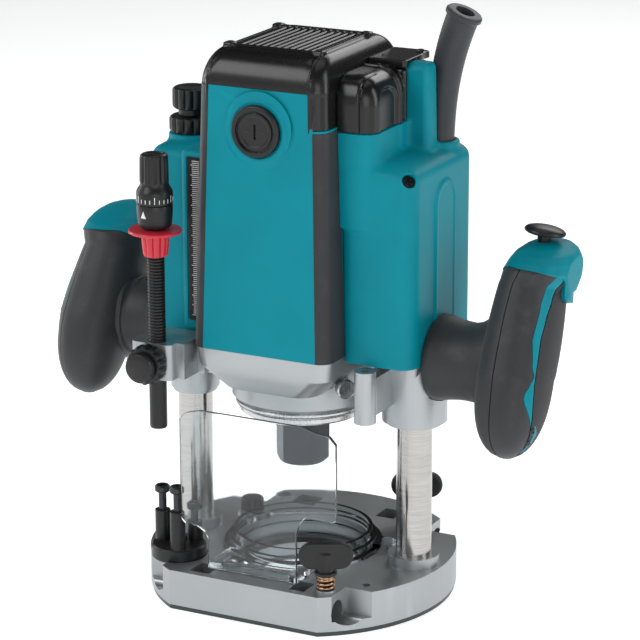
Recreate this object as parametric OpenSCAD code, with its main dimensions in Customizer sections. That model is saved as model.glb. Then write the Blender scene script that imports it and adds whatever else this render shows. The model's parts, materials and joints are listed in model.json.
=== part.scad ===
// Two-handle plunge router for 12 mm class shanks.
// The origin is where the spindle axis meets the underside of the sole plate.
// +Z is up, -Y is the side with the round front brush cap, +X is the side with the cord boot.

/* [Base] */
// Radius of the round base
base_r = 78.7; // [76:0.1:82]
// Height of the base with its sole plate
base_h = 21; // [20:0.5:24]
// Thickness of the black sole plate
sole_t = 2.6; // [2:0.1:4]
// Distance of the front flat from the spindle axis
front_flat = 66.7; // [64:0.1:70]
// Radius of the opening under the cutter
opening_r = 30; // [26:0.5:32]
// Diameter of the holes for the straight-guide rods
rod_hole_d = 12; // [8:1:12]
// Distance of each guide-rod hole from the spindle axis
rod_hole_y = 56.6; // [55:0.1:58]

/* [Columns] */
// Distance between the two guide columns
column_pitch = 125.4; // [124:0.1:127]
// Diameter of a guide column
column_d = 18; // [16:0.5:18]
// Height of the top end of each column
column_top = 155; // [150:1:160]

/* [Spindle] */
// Width across the flats of the collet nut
nut_af = 24; // [22:0.5:24]
// Diameter of the collet's bore
collet_d = 12.7; // [6:0.1:12.7]
// Radius of the armature core
armature_r = 18; // [16:0.5:19]

/* [Carriage] */
// Height of the underside of the motor housing
housing_z0 = 134; // [134:1:135]
// Height of the joint between the motor housing and the top cover
housing_z1 = 267; // [266:1:268]
// Thickness of the moulded plastic walls
wall = 2.8; // [2.4:0.1:3]
// Distance of each side housing's outer face from the spindle axis
side_x = 75; // [74.8:0.1:77]

/* [Handles] */
// Distance of each grip's centre from the spindle axis
grip_x = 122; // [121:1:126]
// Half width of a grip at its middle
grip_a = 17.8; // [17:0.1:19]
// Half depth of a grip at its middle
grip_b = 21.5; // [20:0.1:22]

// How much nearer the left grip stands
left_in = 8; // [7:1:9]

/* [Stop] */
// Diameter of the threaded stop pole
pole_d = 9; // [8:0.5:9]
// Radius of the circle through the three stop posts
turret_r = 9.5; // [9.3:0.1:9.6]

/* [Hidden] */
$fn = 64;

cx = column_pitch / 2;
sign = [-1, 1];
turret_p = [-49, -43.5];
pole_p = [-53.8, -53.5];
scr_front = [41.7, -rod_hole_y];
scr_rear = [37.6, 56.4];
guard_screw_p = [-39.5, 18.4];
hx = cx;
boot_p = [62.8, 27.4];
button_y = 19;
limit_x = -cx;

// ---- helpers ----
module cyl(p, r, z0, z1) { translate([p[0], p[1], z0]) cylinder(r = r, h = z1 - z0); }
module rcyl(r, z0, z1, c = 0.8) {
    translate([0, 0, z0]) rotate_extrude() polygon([[0, 0], [r - c, 0], [r, c], [r, z1 - z0 - c], [r - c, z1 - z0], [0, z1 - z0]]);
}
module box(x0, x1, y0, y1, z0, z1) { translate([x0, y0, z0]) cube([x1 - x0, y1 - y0, z1 - z0]); }
module rrect2(x0, x1, y0, y1, r) {
    translate([x0 + r, y0]) square([x1 - x0 - 2 * r, y1 - y0]);
    translate([x0, y0 + r]) square([x1 - x0, y1 - y0 - 2 * r]);
    for (x = [x0 + r, x1 - r], y = [y0 + r, y1 - r]) translate([x, y]) circle(r = r);
}
module rbox(x0, x1, y0, y1, z0, z1, r) { translate([0, 0, z0]) linear_extrude(z1 - z0) rrect2(x0, x1, y0, y1, r); }
// one thin slab of a tapering shell, rounded at its corners
module slab(x0, x1, y0, y1, z, r) { for (x = [x0 + r, x1 - r], y = [y0 + r, y1 - r]) translate([x, y, z]) cylinder(r = r, h = 0.02, $fn = 28); }
// a shaft along the y direction
module ycyl(x, z, r, y0, y1) { translate([x, y0, z]) rotate([-90, 0, 0]) cylinder(r = r, h = y1 - y0); }
module xcyl(y, z, r, x0, x1) { translate([x0, y, z]) rotate([0, 90, 0]) cylinder(r = r, h = x1 - x0); }
// a knob with flutes cut round its rim
module fluted(r, z0, z1, n = 16, f = 0.9) {
    difference() {
        rcyl(r, z0, z1, 0.7);
        for (i = [0:n - 1]) rotate([0, 0, i * 360 / n]) translate([r + f * 0.35, 0, z0 - 1]) cylinder(r = f, h = z1 - z0 + 2, $fn = 20);
    }
}
// a closed skin over a stack of rings, each the same number of points
module skin(rings) {
    n = len(rings[0]); m = len(rings);
    pts = [for (r = rings) for (p = r) p];
    polyhedron(points = pts, faces = concat([[for (i = [0:n - 1]) i]],
        [for (j = [0:m - 2]) for (i = [0:n - 1]) [j * n + i, (j + 1) * n + i, (j + 1) * n + (i + 1) % n]],
        [for (j = [0:m - 2]) for (i = [0:n - 1]) [j * n + i, (j + 1) * n + (i + 1) % n, j * n + (i + 1) % n]],
        [[for (i = [n - 1:-1:0]) (m - 1) * n + i]]), convexity = 6);
}

// ---- base ----
module base_outline2(inset = 0) {
    intersection() {
        difference() {
            circle(r = base_r - inset, $fn = 160);
            translate([-100, -100]) square([200, 100 - front_flat + inset]);
            for (s = sign) translate([s > 0 ? 47.8 - inset : -47.8 - 40 + inset, -100]) square([40, 100 - 47.6 + inset]);
            translate([-45.3 - 40 + inset, 44.6 - inset]) square([40, 60]);
            translate([49 - inset, 42.8 - inset]) square([40, 60]);
        }
    }
}
module rod_holes() { for (s = sign) xcyl(s * rod_hole_y, 11.2, rod_hole_d / 2, -90, 90); }
module base_casting() {
    color("silver") difference() {
        union() {
            translate([0, 0, sole_t]) linear_extrude(base_h - sole_t) difference() {
                base_outline2();
                circle(r = 41);
            }
            // ring floor that the dust guard sits on
            difference() { cyl([0, 0], 41.5, sole_t, 9); cyl([0, 0], opening_r, 0, 12); }
            // ledges in the four corner notches
            intersection() {
                translate([0, 0, sole_t]) linear_extrude(5) difference() { circle(r = base_r, $fn = 160); translate([-100, -100]) square([200, 100 - front_flat]); circle(r = 60); }
                union() { for (x = [-66, 66], y = [-58, 58]) translate([x - 20, y - 18, 0]) cube([40, 36, 20]); }
            }
            // column bosses and screw bosses
            for (s = sign) cyl([s * cx, 0], 13, sole_t, 26);
            cyl(scr_front, 5, 12, base_h + 1.4);
            cyl(scr_rear, 5, 12, base_h + 1.4);
            cyl([-40, 56], 5, 12, base_h + 1.2);
        }
        for (s = sign) cyl([s * cx, 0], column_d / 2, 8, 30);
        rod_holes();
        // pockets that show the guide rods
        for (p = [[-32, -21], [24, 32.5]]) box(p[0], p[1], -62.5, -50.5, 9, 30);
        for (p = [[-33, -20], [16.5, 27]]) box(p[0], p[1], 50, 63, 9, 30);
        // threaded seats
        cyl(scr_front, 3, 12, 30);
        cyl(scr_rear, 3, 12, 30);
        cyl([-40, 56], 3, 6, 30);
        cyl([56, -40.4], 2, 8, 30);
        cyl([-56, -22], 2, 8, 30);
        cyl(guard_screw_p, 2.5, 6, 30);
        // turret seat
        cyl(turret_p, 14.6, 19.6, 30);
        cyl(turret_p, 2.5, 5, 30);
        // hollows in the underside, as in a ribbed casting
        for (s = sign) { box(s > 0 ? 44 : -72, s > 0 ? 72 : -44, -24, -15, -1, 14); box(s > 0 ? 44 : -72, s > 0 ? 72 : -44, 15, 30, -1, 14); }
        for (p = [[-60, -38], [52, -45], [-40, 46], [44, 40]]) cyl(p, 1.6, -1, 10);
        for (s = sign) cyl([s * cx, 0], 3.2, -1, 12);
    }
}
module sole_plate() {
    color("darkslategray") difference() {
        linear_extrude(sole_t) difference() {
            circle(r = base_r - 0.6, $fn = 160);
            translate([-100, -100]) square([200, 100 - front_flat + 0.6]);
            circle(r = opening_r);
        }
        for (p = [[-60, -38], [52, -45], [-40, 46], [44, 40]]) { cyl(p, 1.8, -1, 5); cyl(p, 4, -1, 1.6); }
        for (s = sign) cyl([s * cx, 0], 6, -1, 5);
    }
}
module sole_screws() {
    color("dimgray") {
        for (p = [[-60, -38], [52, -45], [-40, 46], [44, 40]]) translate([p[0], p[1], 0.6]) difference() {
            union() { cylinder(r = 3.6, h = 1); cylinder(r = 1.6, h = 8.4); }
            translate([0, 0, -1]) cylinder(r = 1.3, h = 1.6, $fn = 6);
        }
        for (s = sign) translate([s * cx, 0, 0.4]) difference() {
            union() { cylinder(r = 5.2, h = sole_t - 0.4); cylinder(r = 3.2, h = 7.6); }
            translate([0, 0, -1]) cylinder(r = 2.6, h = 2.4, $fn = 6);
        }
    }
}
module guide_columns() {
    color("darkgray") difference() {
        for (s = sign) translate([s * cx, 0, 8]) rcyl(column_d / 2, 0, column_top - 8, 1);
        // the left column is tapped for the limit rod, the right holds its spring
        cyl([-cx, 0], 4, 120, 200);
        cyl([cx, 0], 5.6, 60, 200);
    }
}
module limit_rod() { color("dimgray") translate([limit_x, 0, 0]) difference() { rcyl(4, 120, 256, 0.8); for (z = [232:1.5:253]) translate([0, 0, z]) rotate_extrude() polygon([[3.6, 0.4], [5, 0], [5, 0.8]]); } }
module dust_guard() {
    color("whitesmoke", 0.5) difference() {
        union() {
            rotate_extrude() polygon([[29.5, 9], [40.6, 9], [40.6, 23], [38, 23], [38, 26], [35.6, 26], [35.6, 30], [33.6, 30], [33.6, 20], [32, 20], [32, 14], [29.5, 14]]);
            // ears that carry the thumb screw, the hook and the shield
            translate([0, 0, 21.4]) linear_extrude(3.4) difference() {
                union() {
                    translate([-39.5, 18.4]) circle(r = 7.6);
                    rotate([0, 0, 155]) translate([34, -7.6]) square([9.6, 15.2]);
                    translate([44, 10.8]) circle(r = 4.2);
                    rotate([0, 0, 13.8]) translate([34, -6]) square([11, 12]);
                    translate([-25, -54.4]) square([50, 22]);
                }
                circle(r = 34);
            }
        }
        cyl(guard_screw_p, 2.6, 0, 40);
        box(-19, 19, -51.5, -42.5, 20, 30);
    }
}
module chip_shield() {
    color("lightblue", 0.4) difference() {
        translate([0, -54.5, 0]) rotate([90, 0, 0]) linear_extrude(2) union() {
            polygon([[-25, 21.5], [25, 21.5], [25, 48], [26.5, 52.5], [30, 57], [45.8, 57], [47.2, 58.6], [47.2, 97.4], [43.6, 101.4], [37, 101.8], [28.5, 104.2], [-28.5, 104.2], [-35, 102.6], [-38, 101.2], [-40.2, 98.5],
                [-40.2, 45.6], [-38, 43.4], [-30.5, 42.6], [-26.4, 40.4], [-25, 37]]);
        }
        box(-60, 60, -60, -54.45, 0, 21.45);
    }
}
module turret_screw() { color("gray") translate([turret_p[0], turret_p[1], 0]) difference() { union() { rcyl(2.46, 8, 27.4, 0.3); translate([0, 0, 27.4]) rcyl(4.2, 0, 3, 0.5); } translate([0, 0, 28.8]) cylinder(r = 2, h = 4, $fn = 6); } }
module guide_screw_springs() {
    color("peru") for (p = [scr_front, scr_rear]) translate([p[0], p[1], 0]) for (i = [0:3]) translate([0, 0, base_h + 2.3 + i * 2.0]) rotate_extrude() translate([4.1, 0]) circle(r = 0.75, $fn = 16);
}
module dust_guard_screw() {
    color("slategray") translate([guard_screw_p[0], guard_screw_p[1], 0]) { rcyl(2.46, 10, 27, 0.4); fluted(6, 26.2, 33, 12, 0.9); }
}
// a thumb screw with an oval wing, seen from its side
module guide_screw() {
    color("black") {
        rcyl(2.95, 17.6, 34, 0.5);
        translate([0, 0, 30.2]) rotate_extrude() polygon([[0, 0], [5.2, 0], [3.4, 9], [0, 9]]);
        translate([0, 2.2, 39.8]) rotate([90, 0, 0]) linear_extrude(4.4) rrect2(-13.6, 13.6, -7.2, 7.2, 7.1);
    }
}
module front_guide_screw() { translate([scr_front[0], scr_front[1], 0]) rotate([0, 0, 27]) guide_screw(); }
module rear_guide_screw() { translate([scr_rear[0], scr_rear[1], 0]) rotate([0, 0, 27]) guide_screw(); }
module stop_turret() {
    color([0.07, 0.07, 0.07]) translate([turret_p[0], turret_p[1], 0]) difference() {
        union() {
            rcyl(14, 19.9, 27, 0.8);
            for (i = [0:2]) rotate([0, 0, 57 + 120 * i]) translate([turret_r, 0, 20]) cylinder(r = 3.9, h = i == 0 ? 17 : (i == 1 ? 23 : 27));
        }
        translate([0, 0, 10]) cylinder(r = 2.55, h = 30);
        translate([0, 0, 26.9]) cylinder(r = 4.6, h = 30);
        for (i = [0:2]) rotate([0, 0, 57 + 120 * i]) translate([turret_r, 0, 22]) cylinder(r = 2, h = 40);
    }
}
module turret_bolts() {
    color("dimgray") translate([turret_p[0], turret_p[1], 0]) for (i = [0:2]) rotate([0, 0, 57 + 120 * i]) translate([turret_r, 0, 0]) {
        top = i == 0 ? 47 : (i == 1 ? 56.2 : 60.5);
        difference() {
            union() { rcyl(2, 24, top - 2, 0.2); translate([0, 0, top - 3.6]) rcyl(3.9, 0, 3.6, 0.7); }
            translate([-3, -0.5, top - 1.2]) cube([6, 1, 3]);
            translate([-0.5, -3, top - 1.2]) cube([1, 6, 3]);
        }
    }
}
module lower_limit_nut() { color([0.06, 0.06, 0.06]) translate([limit_x, 0, 0]) difference() { fluted(11.3, 231.2, 239.4, 16, 1.0); cyl([0, 0], 4.05, 200, 300); } }
module upper_limit_nut() {
    color([0.06, 0.06, 0.06]) translate([limit_x, 0, 0]) difference() {
        union() { rcyl(6.6, 239.8, 244, 0.3); fluted(9.4, 243.4, 254, 16, 0.9); }
        cyl([0, 0], 4.05, 200, 300);
    }
}

// ---- carriage ----
// outer form of the motor housing between two heights, grown by g
function tw(z) = 38 - 3.6 * (z - housing_z0) / (housing_z1 - housing_z0);
function tf(z) = -47.4 + 3.4 * (z - housing_z0) / (housing_z1 - housing_z0);
function tb(z) = 45 - 2 * (z - housing_z0) / (housing_z1 - housing_z0);
module tower(g, z0, z1) {
    hull() for (z = [z0, z1]) slab(-tw(z) - g, tw(z) + g, tf(z) - g, tb(z) + g, z, 7 + g);
}
module motor_cavity() { hull() { slab(-35, 35, -44.4, 42, housing_z0 - 1, 5); slab(-31.4, 31.4, -41, 40, housing_z1 + 1, 5); } }
// space that the two rubber corner guards take
module corner_zone(s) { hull() { translate([s > 0 ? 31.4 : -31.4 - 30, -80, housing_z0 - 1]) cube([30, 51, 0.1]); translate([s > 0 ? 28.2 : -28.2 - 30, -80, housing_z1 + 1]) cube([30, 51, 0.1]); } }
module motor_housing() {
    color([0, 0.55, 0.6]) difference() {
        tower(0, housing_z0, housing_z1);
        motor_cavity();
        difference() { union() for (s = sign) corner_zone(s); tower(-1.3, housing_z0 - 2, housing_z1 + 2); box(20, 60, -60, 0, 248.3, 249.4); }
        // brush openings front and rear
        ycyl(0, 248.5, 9.6, -60, 60);
    }
    color([0, 0.55, 0.6]) ycyl_ring(0, 248.5, 17.9, 9.7, -45.6, -43.2);
}
module ycyl_ring(x, z, r1, r0, y0, y1) { difference() { ycyl(x, z, r1, y0, y1); ycyl(x, z, r0, y0 - 1, y1 + 1); } }
module corner_guards() {
    color([0.2, 0.2, 0.21]) for (s = sign) intersection() {
        corner_zone(s);
        difference() { tower(0.3, housing_z0 + 0.2, housing_z1 - 0.2); tower(-1.28, housing_z0 - 2, housing_z1 + 2); if (s > 0) box(20, 60, -60, 0, 248.1, 280); }
    }
}
module top_cover() {
    color([0.05, 0.05, 0.05]) difference() {
        hull() {
            slab(-34.4, 34.4, -44, 43, housing_z1 + 0.04, 7);
            slab(-33.6, 34.2, -42.4, 42, 275.5, 8);
            slab(-30, 31.6, -37, 37, 281.6, 9);
            slab(-25.6, 27, -30.5, 27, 284.2, 8);
        }
        hull() {
            slab(-31.6, 31.6, -41.2, 40, housing_z1 - 1, 6);
            slab(-29, 30, -38, 37, 274, 7);
            slab(-23, 24, -28, 24, 281.4, 8);
        }
        // slots between the bars of the intake grille
        for (i = [0:11]) translate([-21.6 + i * 3.72, -27, 278]) cube([2.1, 50, 12]);
    }
    color([0.05, 0.05, 0.05]) {
        for (x = [-24, 24.4], y = [-28.5, 21.6]) translate([x, y, 281.6]) rcyl(2.4, 0, 3.4, 0.5);
        // skirt of the cover over the front right corner
        intersection() { corner_zone(1); difference() { tower(0, 249.6, housing_z1 + 0.9); tower(-1.28, 249, housing_z1 + 2); } }
    }
}
// one side housing over a column, on the side given by s
module slab2(x0, x1, y0, y1, z, rf, rr) { slab(x0, x1, y0, y1 - 8, z, rf); slab(x0, x1, y0 + 20, y1, z, rr); }
module right_shell(g) {
    hull() {
        slab2(34 + g, side_x - g, -30 + g, 42 - g, 131 - (g > 0 ? 1 : 0), 9 - g, 5 - g / 2);
        slab2(34 + g, side_x - g, -30 + g, 42 - g, 226.4 - g, 9 - g, 5 - g / 2);
        slab2(34 + g, 74 - g, -28 + g, 41 - g, 230.4 - g, 9 - g, 5 - g / 2);
        slab2(34 + g, 69.6 - g, -24 + g, 37 - g, 233.4 - g, 9 - g, 5 - g / 2);
        slab(34 + g, 56 - g, -25 + g, 20 - g, 235.6 - g, 6 - g);
    }
}
// plan of the raised base under the vent cowl, grown by g
module cowl_plan(g, z) { slab(20, 54.6 + g, -31 - g, 7, z, 9 + g); }
module pillar(g) { hull() { rbox(50.4 - g, 66 + g, 7.6 - g, 20 + g, 232.6 - g, 234, 4 + g); rbox(51.4 - g, 65.4 + g, 8.4 - g, 20 + g, 270, 271 + g, 4 + g); rbox(53.6, 63.8, 10.4, 18.6, 275.4, 275.7 + g, 3); } }
module right_housing() {
    color([0, 0.55, 0.6]) difference() {
        union() {
            right_shell(0);
            hull() { cowl_plan(0, 247); cowl_plan(0, 232); }
            // raised ribs down the outer face
            for (y = [-3.7, 17.3]) translate([side_x - 1, y, 153.4]) cylinder(r = 1.9, h = 67);
            translate([side_x - 0.4, -3.7, 153.4]) cube([0.6, 21, 67]);
            // pillar beside the cord boot
            pillar(0);
        }
        right_shell(wall);
        hull() { cowl_plan(-wall, 248); cowl_plan(-wall, 230); }
        tower(0.02, 110, 300);
        intersection() { corner_zone(1); tower(0.36, 110, 300); }
        // screw recess, cord hole and lock notch
        translate([71.2, -26.2, 226]) rotate([52, 0, 38]) cylinder(r = 3.4, h = 12, center = true);
        cyl(boot_p, 7.1, 200, 260);
        // opening for the handle stem
        xcyl(0, 131, 17, 60, 100);
    }
}
module left_shell(g) {
    hull() {
        slab(-side_x + g, -34 - g, -24 + g, 34 - g, 131 - (g > 0 ? 1 : 0), 8 - g);
        slab(-side_x + g, -34 - g, -23 + g, 33 - g, 223 - g, 8 - g);
        slab(-72 + g, -34 - g, -20 + g, 30 - g, 230.6 - g, 7 - g);
    }
}
module left_housing() {
    color([0, 0.55, 0.6]) difference() {
        union() { left_shell(0); box(-52, -34.6, -30.5, -20, 136, 229); }
        left_shell(wall);
        tower(0.36, 110, 300);
        cyl([limit_x, 0], 4.6, 200, 260);
        // channel of the depth scale
        box(-48.4, -40.2, -40, -29.2, 142, 226);
        xcyl(0, 131, 17, -100, -60);
    }
}
module depth_scale() {
    color("black") difference() {
        box(-48.1, -40.5, -30.9, -29.3, 142.3, 225.7);
        for (i = [0:30]) box(i % 5 == 0 ? -47.2 : -45.6, -41.2, -31.2, -30.6, 146 + i * 2.4, 146.6 + i * 2.4);
    }
}
module vent_cowl() {
    color([0.04, 0.04, 0.04]) {
        difference() {
            union() {
                hull() { cowl_plan(0, 247.3); cowl_plan(0, 262); cowl_plan(-2.4, 268); cowl_plan(-6.4, 272.4); cowl_plan(-10, 274); }
                rbox(30, 54.4, 6, 32, 247.3, 272, 3);
                // flat plate beside the top cover
                rbox(30, 53.6, 4.6, 33.4, 274, 277.2, 2.4);
                rbox(30, 52.8, 6, 32.6, 271, 275, 2);
            }
            tower(0.02, housing_z0 - 20, housing_z1 + 20);
            intersection() { corner_zone(1); tower(0.36, 110, 300); }
            hull() { slab(-20, 34.6, -46, 46, 260, 2); slab(-20, 34.6, -44, 44, 275.6, 2); slab(-20, 32, -38, 38, 282, 2); }
            hull() { cowl_plan(-wall, 240); cowl_plan(-wall, 260.4); cowl_plan(-8.8, 269.4); }
            rbox(30, 51, 8.6, 29.4, 240, 269.4, 2);
            pillar(0.03);
            cyl(boot_p, 8.7, 240, 300);
        }
    }
}
// centre line of the leaning cord boot
function boot_c(t) = [boot_p[0] + 12 * pow(t, 2.4), boot_p[1] + 1.5 * t, 232.2 + 66.8 * t];
function boot_r(t) = 6.9 + 1.3 * t;
module boot_skin(dr, t0, t1, m = 10, n = 24) {
    skin([for (j = [0:m]) let (t = t0 + (t1 - t0) * j / m, c = boot_c(t), lean = atan(28.8 * pow(t, 1.4) / 66.8))
        [for (i = [0:n - 1]) let (a = i * 360 / n, r = boot_r(min(t, 0.94)) + dr) [c[0] + r * cos(a) * cos(lean), c[1] + r * sin(a), c[2] - r * cos(a) * sin(lean)]]]);
}
module cord_boot() {
    color([0.25, 0.26, 0.28]) {
        difference() {
            union() {
                boot_skin(0, 0, 1, 14, 24);
                translate(boot_c(0.975)) rotate([0, 22.6, 0]) rotate_extrude() polygon([[4, -1.6], [8.6, -1.6], [9.3, -0.8], [9.3, 0.8], [8.6, 1.6], [4, 1.6]]);
            }
            boot_skin(-3.1, 0.3, 1.1, 8, 20);
        }
        cyl(boot_p, 6.6, 224, 233);
        cyl(boot_p, 3.4, 216, 226);
    }
}
// clamp lug of the stop pole
module pole_lug_form() {
    rbox(-66, -43, -59.6, -31, 118, 136.4, 3.5);
    rbox(-62, -34.6, -53.7, -31, 118, 136.4, 1.5);
}
module pole_clamp_lug() {
    color([0.72, 0.74, 0.75]) difference() {
        intersection() { pole_lug_form(); box(-80, -38.4, -80, -40.02, 100, 150); }
        cyl(pole_p, pole_d / 2 + 0.06, 100, 140);
        // seat of the pole clamp
        ycyl(pole_p[0], 126.8, 3, -70, -55);
    }
}
module bracket_casting() {
    color([0.72, 0.74, 0.75]) difference() {
        union() {
            // deck under the motor housing
            hull() { slab(-38, 38, -47.4, 45, 133.9, 7); slab(-37, 37, -47.0, 44, 124, 10); slab(-26, 26, -42, 38, 113, 12); }
            // round nose that holds the lower bearing
            rcyl(36, 101, 116, 2);
            // column bosses
            cyl([cx, 0], 16.4, 97, 133);
            cyl([cx, 0], 14.2, 95.4, 98);
            cyl([-cx, 0], 12.6, 97, 133);
            cyl([-cx, 0], 11.4, 95, 98);
            // webs out to the bosses, under the side housings
            for (s = sign) hull() { slab(s > 0 ? 30 : -74, s > 0 ? 74 : -30, -19, 22, 130.9, 6); slab(s > 0 ? 26 : -66, s > 0 ? 66 : -26, -13, 15, 109, 6); }
            // clamp lug of the stop pole
            intersection() { pole_lug_form(); box(-80, 0, -40, 0, 100, 150); }
            rbox(-60, -34, -40, -14, 118.4, 130.9, 3);
            // lug of the right front
            cyl([52.4, -35], 5.4, 103.8, 130.4);
            rbox(49.6, 57.8, -35, -14, 108, 127, 2);
        }
        // bores
        for (s = sign) cyl([s * cx, 0], column_d / 2 + 1.5, 80, 140);
        cyl([0, 0], 20, 101.5, 115.5);
        cyl([0, 0], 13.5, 90, 140);
        cyl([0, 0], 31, 117.5, 140);
        hull() { slab(-35, 35, -44.4, 42, 134.5, 5); slab(-30, 30, -40, 36, 122, 8); }
        cyl([52.4, -35], 2.1, 100, 140);
        // handle stem seats
        for (s = sign) { xcyl(0, 131, 17, s > 0 ? 74.1 : -90, s > 0 ? 90 : -74.1); xcyl(1, 131, 21.9, s > 0 ? 75.2 : -90, s > 0 ? 90 : -75.2); }
        tower(0.4, 133.95, 150);
        // hole of the shaft lock, through the front right corner
        rotate([0, 0, -37]) { xcyl(0, 117.5, 3, 6, 60); xcyl(0, 117.5, 5.4, 40.6, 60); }
        for (a = [45:90:315]) rotate([0, 0, a]) translate([27.5, 0, 95]) cylinder(r = 1.7, h = 12);
        // seat of the plunge lock at the rear left
        ycyl(-cx, 118, 4.05, 9, 40);
    }
}
module column_bushes() {
    color("goldenrod") for (s = sign) translate([s * cx, 0, 0]) for (z = [[97, 109], [118, 132]]) difference() {
        translate([0, 0, z[0]]) cylinder(r = column_d / 2 + 1.48, h = z[1] - z[0]);
        translate([0, 0, z[0] - 1]) cylinder(r = column_d / 2 + 0.03, h = z[1] - z[0] + 2);
    }
}
module lower_bearing() { color("lightgray") translate([0, 0, 101.6]) difference() { rcyl(19.98, 0, 12, 0.8); translate([0, 0, -1]) cylinder(r = 8.53, h = 14); for (z = [-0.5, 11]) translate([0, 0, z]) rotate_extrude() polygon([[12, 0], [17, 0], [17, 1.5], [12, 1.5]]); } }
module upper_bearing() { color("lightgray") translate([0, 0, 268]) difference() { rcyl(13, 0, 8, 0.6); translate([0, 0, -1]) cylinder(r = 5.03, h = 10); } }
module bearing_retainer() {
    color([0.7, 0.72, 0.73]) difference() {
        union() { rcyl(32.4, 94.2, 98.2, 1); rcyl(34.2, 97.8, 100.95, 0.8); }
        cyl([0, 0], 15.4, 90, 105);
        for (a = [45:90:315]) rotate([0, 0, a]) translate([27.5, 0, 90]) cylinder(r = 1.9, h = 20);
        for (a = [45:90:315]) rotate([0, 0, a]) translate([27.5, 0, 93]) cylinder(r = 3.8, h = 4.2);
        translate([0, 0, 98.9]) rotate_extrude() polygon([[33.4, 0], [36, -0.4], [36, 0.6]]);
    }
}
module retainer_screws() {
    color("dimgray") for (a = [45:90:315]) rotate([0, 0, a]) translate([27.5, 0, 0]) difference() {
        union() { translate([0, 0, 95]) rcyl(3.5, 0, 2.2, 0.4); cyl([0, 0], 1.68, 97, 106); }
        translate([0, 0, 94.5]) cylinder(r = 1.6, h = 1.6, $fn = 6);
    }
}
module field_core() { color("gray") translate([0, 0, 158]) difference() { cylinder(r = 30.6, h = 48); translate([0, 0, -1]) cylinder(r = armature_r + 0.6, h = 50); for (s = sign) box(s > 0 ? 20 : -28, s > 0 ? 28 : -20, -12, 12, -1, 50); } }
module field_coils() {
    color("sienna") for (s = sign) translate([s * 24, 0, 154]) difference() {
        translate([-3.6, -11.8, 0]) cube([7.2, 23.6, 56]);
        translate([-5, -8, 4.5]) cube([10, 16, 47]);
    }
}
module brush_holders() {
    color("gold") for (s = sign) difference() {
        union() { ycyl(0, 248.5, 9.4, s > 0 ? 34 : -44.9, s > 0 ? 43 : -34); translate([-5.5, s > 0 ? 18 : -35, 241]) cube([11, 17, 15]); }
        translate([-3.6, s > 0 ? 15 : -40, 243.4]) cube([7.2, 25, 10.2]);
        ycyl(0, 248.5, 7.5, s > 0 ? 36 : -50, s > 0 ? 50 : -36);
    }
}
module carbon_brushes() { color([0.1, 0.1, 0.1]) for (s = sign) translate([-3.5, s > 0 ? 15.4 : -15.4 - 17, 243.5]) cube([7, 17, 10]); }
module brush_caps() {
    color([0.12, 0.12, 0.12]) for (s = sign) mirror([0, s > 0 ? 1 : 0, 0]) difference() {
        union() {
            ycyl(0, 248.5, 7.4, s > 0 ? -43.8 : -45.8, -37);
            translate([0, s > 0 ? -43.6 : -45.65, 248.5]) rotate([90, 0, 0]) rcyl(13.9, 0, 2.6, 0.7);
        }
        // slot for a coin or a wide blade
        box(-0.9, 0.9, -60, s > 0 ? -45.4 : -47.4, 243.4, 253.6);
        translate([0, s > 0 ? -45.6 : -47.7, 248.5]) rotate([90, 0, 0]) rotate_extrude() polygon([[9.8, 0], [11.2, 0], [11.2, 3], [9.8, 3]]);
    }
}
module switch_body() { color([0.15, 0.15, 0.16]) difference() { rbox(41, 51, -18, 20, 150, 196, 1.5); box(44, 48, -14, -8, 192, 200); } }
module housing_screws() {
    color([0.1, 0.1, 0.1]) {
        for (x = [-24, 24.4], y = [-28.5, 21.6]) translate([x, y, 285.05]) difference() { rcyl(1.9, 0, 0.9, 0.3); translate([-1.4, -0.3, 0.5]) cube([2.8, 0.6, 1]); }
        translate([71.2, -26.2, 226]) rotate([52, 0, 38]) translate([0, 0, -4.6]) difference() { cylinder(r = 3.3, h = 3); translate([-2, -0.4, 2]) cube([4, 0.8, 2]); translate([-0.4, -2, 2]) cube([0.8, 4, 2]); }
    }
}
module column_springs() { color("silver") difference() { cyl([cx, 0], 5.3, 60.2, 226); cyl([cx, 0], 4, 60, 227); } }

// ---- grips ----
// lean of a grip: front-to-back place of its centre at height z
function grip_y(z) = z < 131 ? -22 + 11 * pow(max(0, z - 88) / 43, 1.35) : -11 + 30 * pow((z - 131) / 64, 0.94);
function bulge(u) = pow(max(0.0001, 1 - pow(min(1, abs(u)), 2.6)), 0.5);
// half width and half depth of the grip at height z, for a grip with its lowest point at zb
function g_k(z, zb) = z < 131 ? 0.98 * bulge((131 - z) / (131 - zb)) : 1;
function g_a(z, zb) = grip_a * g_k(z, zb) * (z < 131 ? 1 : 1 - 0.16 * pow((z - 131) / 40, 2));
function g_b(z, zb) = grip_b * g_k(z, zb) * (z < 131 ? 1 : 1 - 0.06 * pow((z - 131) / 40, 2));
function se(a, p) = sign_of(a) * pow(abs(a), p);
function sign_of(v) = v < 0 ? -1 : 1;
// the rings tip back more and more towards the cap
function g_tip(z) = 0.15 + 0.2 * min(1, max(0, (z - 135) / 32));
// one ring of the grip, scaled by k and moved by m
function grip_ring(z, zb, k = 1, m = [0, 0, 0], tip = -1, n = 32) = [for (i = [0:n - 1]) let (t = i * 360 / n, y = g_b(z, zb) * k * se(sin(t), 0.86))
    [g_a(z, zb) * k * se(cos(t), 0.86) + m[0], grip_y(z) + y + m[1], z + m[2] - (tip < 0 ? g_tip(z) : tip) * y]];
module grip_form(zb = 92, top = 171) { skin([for (z = concat([zb + 0.1, zb + 0.9, zb + 2.5, zb + 5.2], [100, 106, 114, 123, 132, 141, 150, 158], [top])) grip_ring(z, zb)]); }
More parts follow.
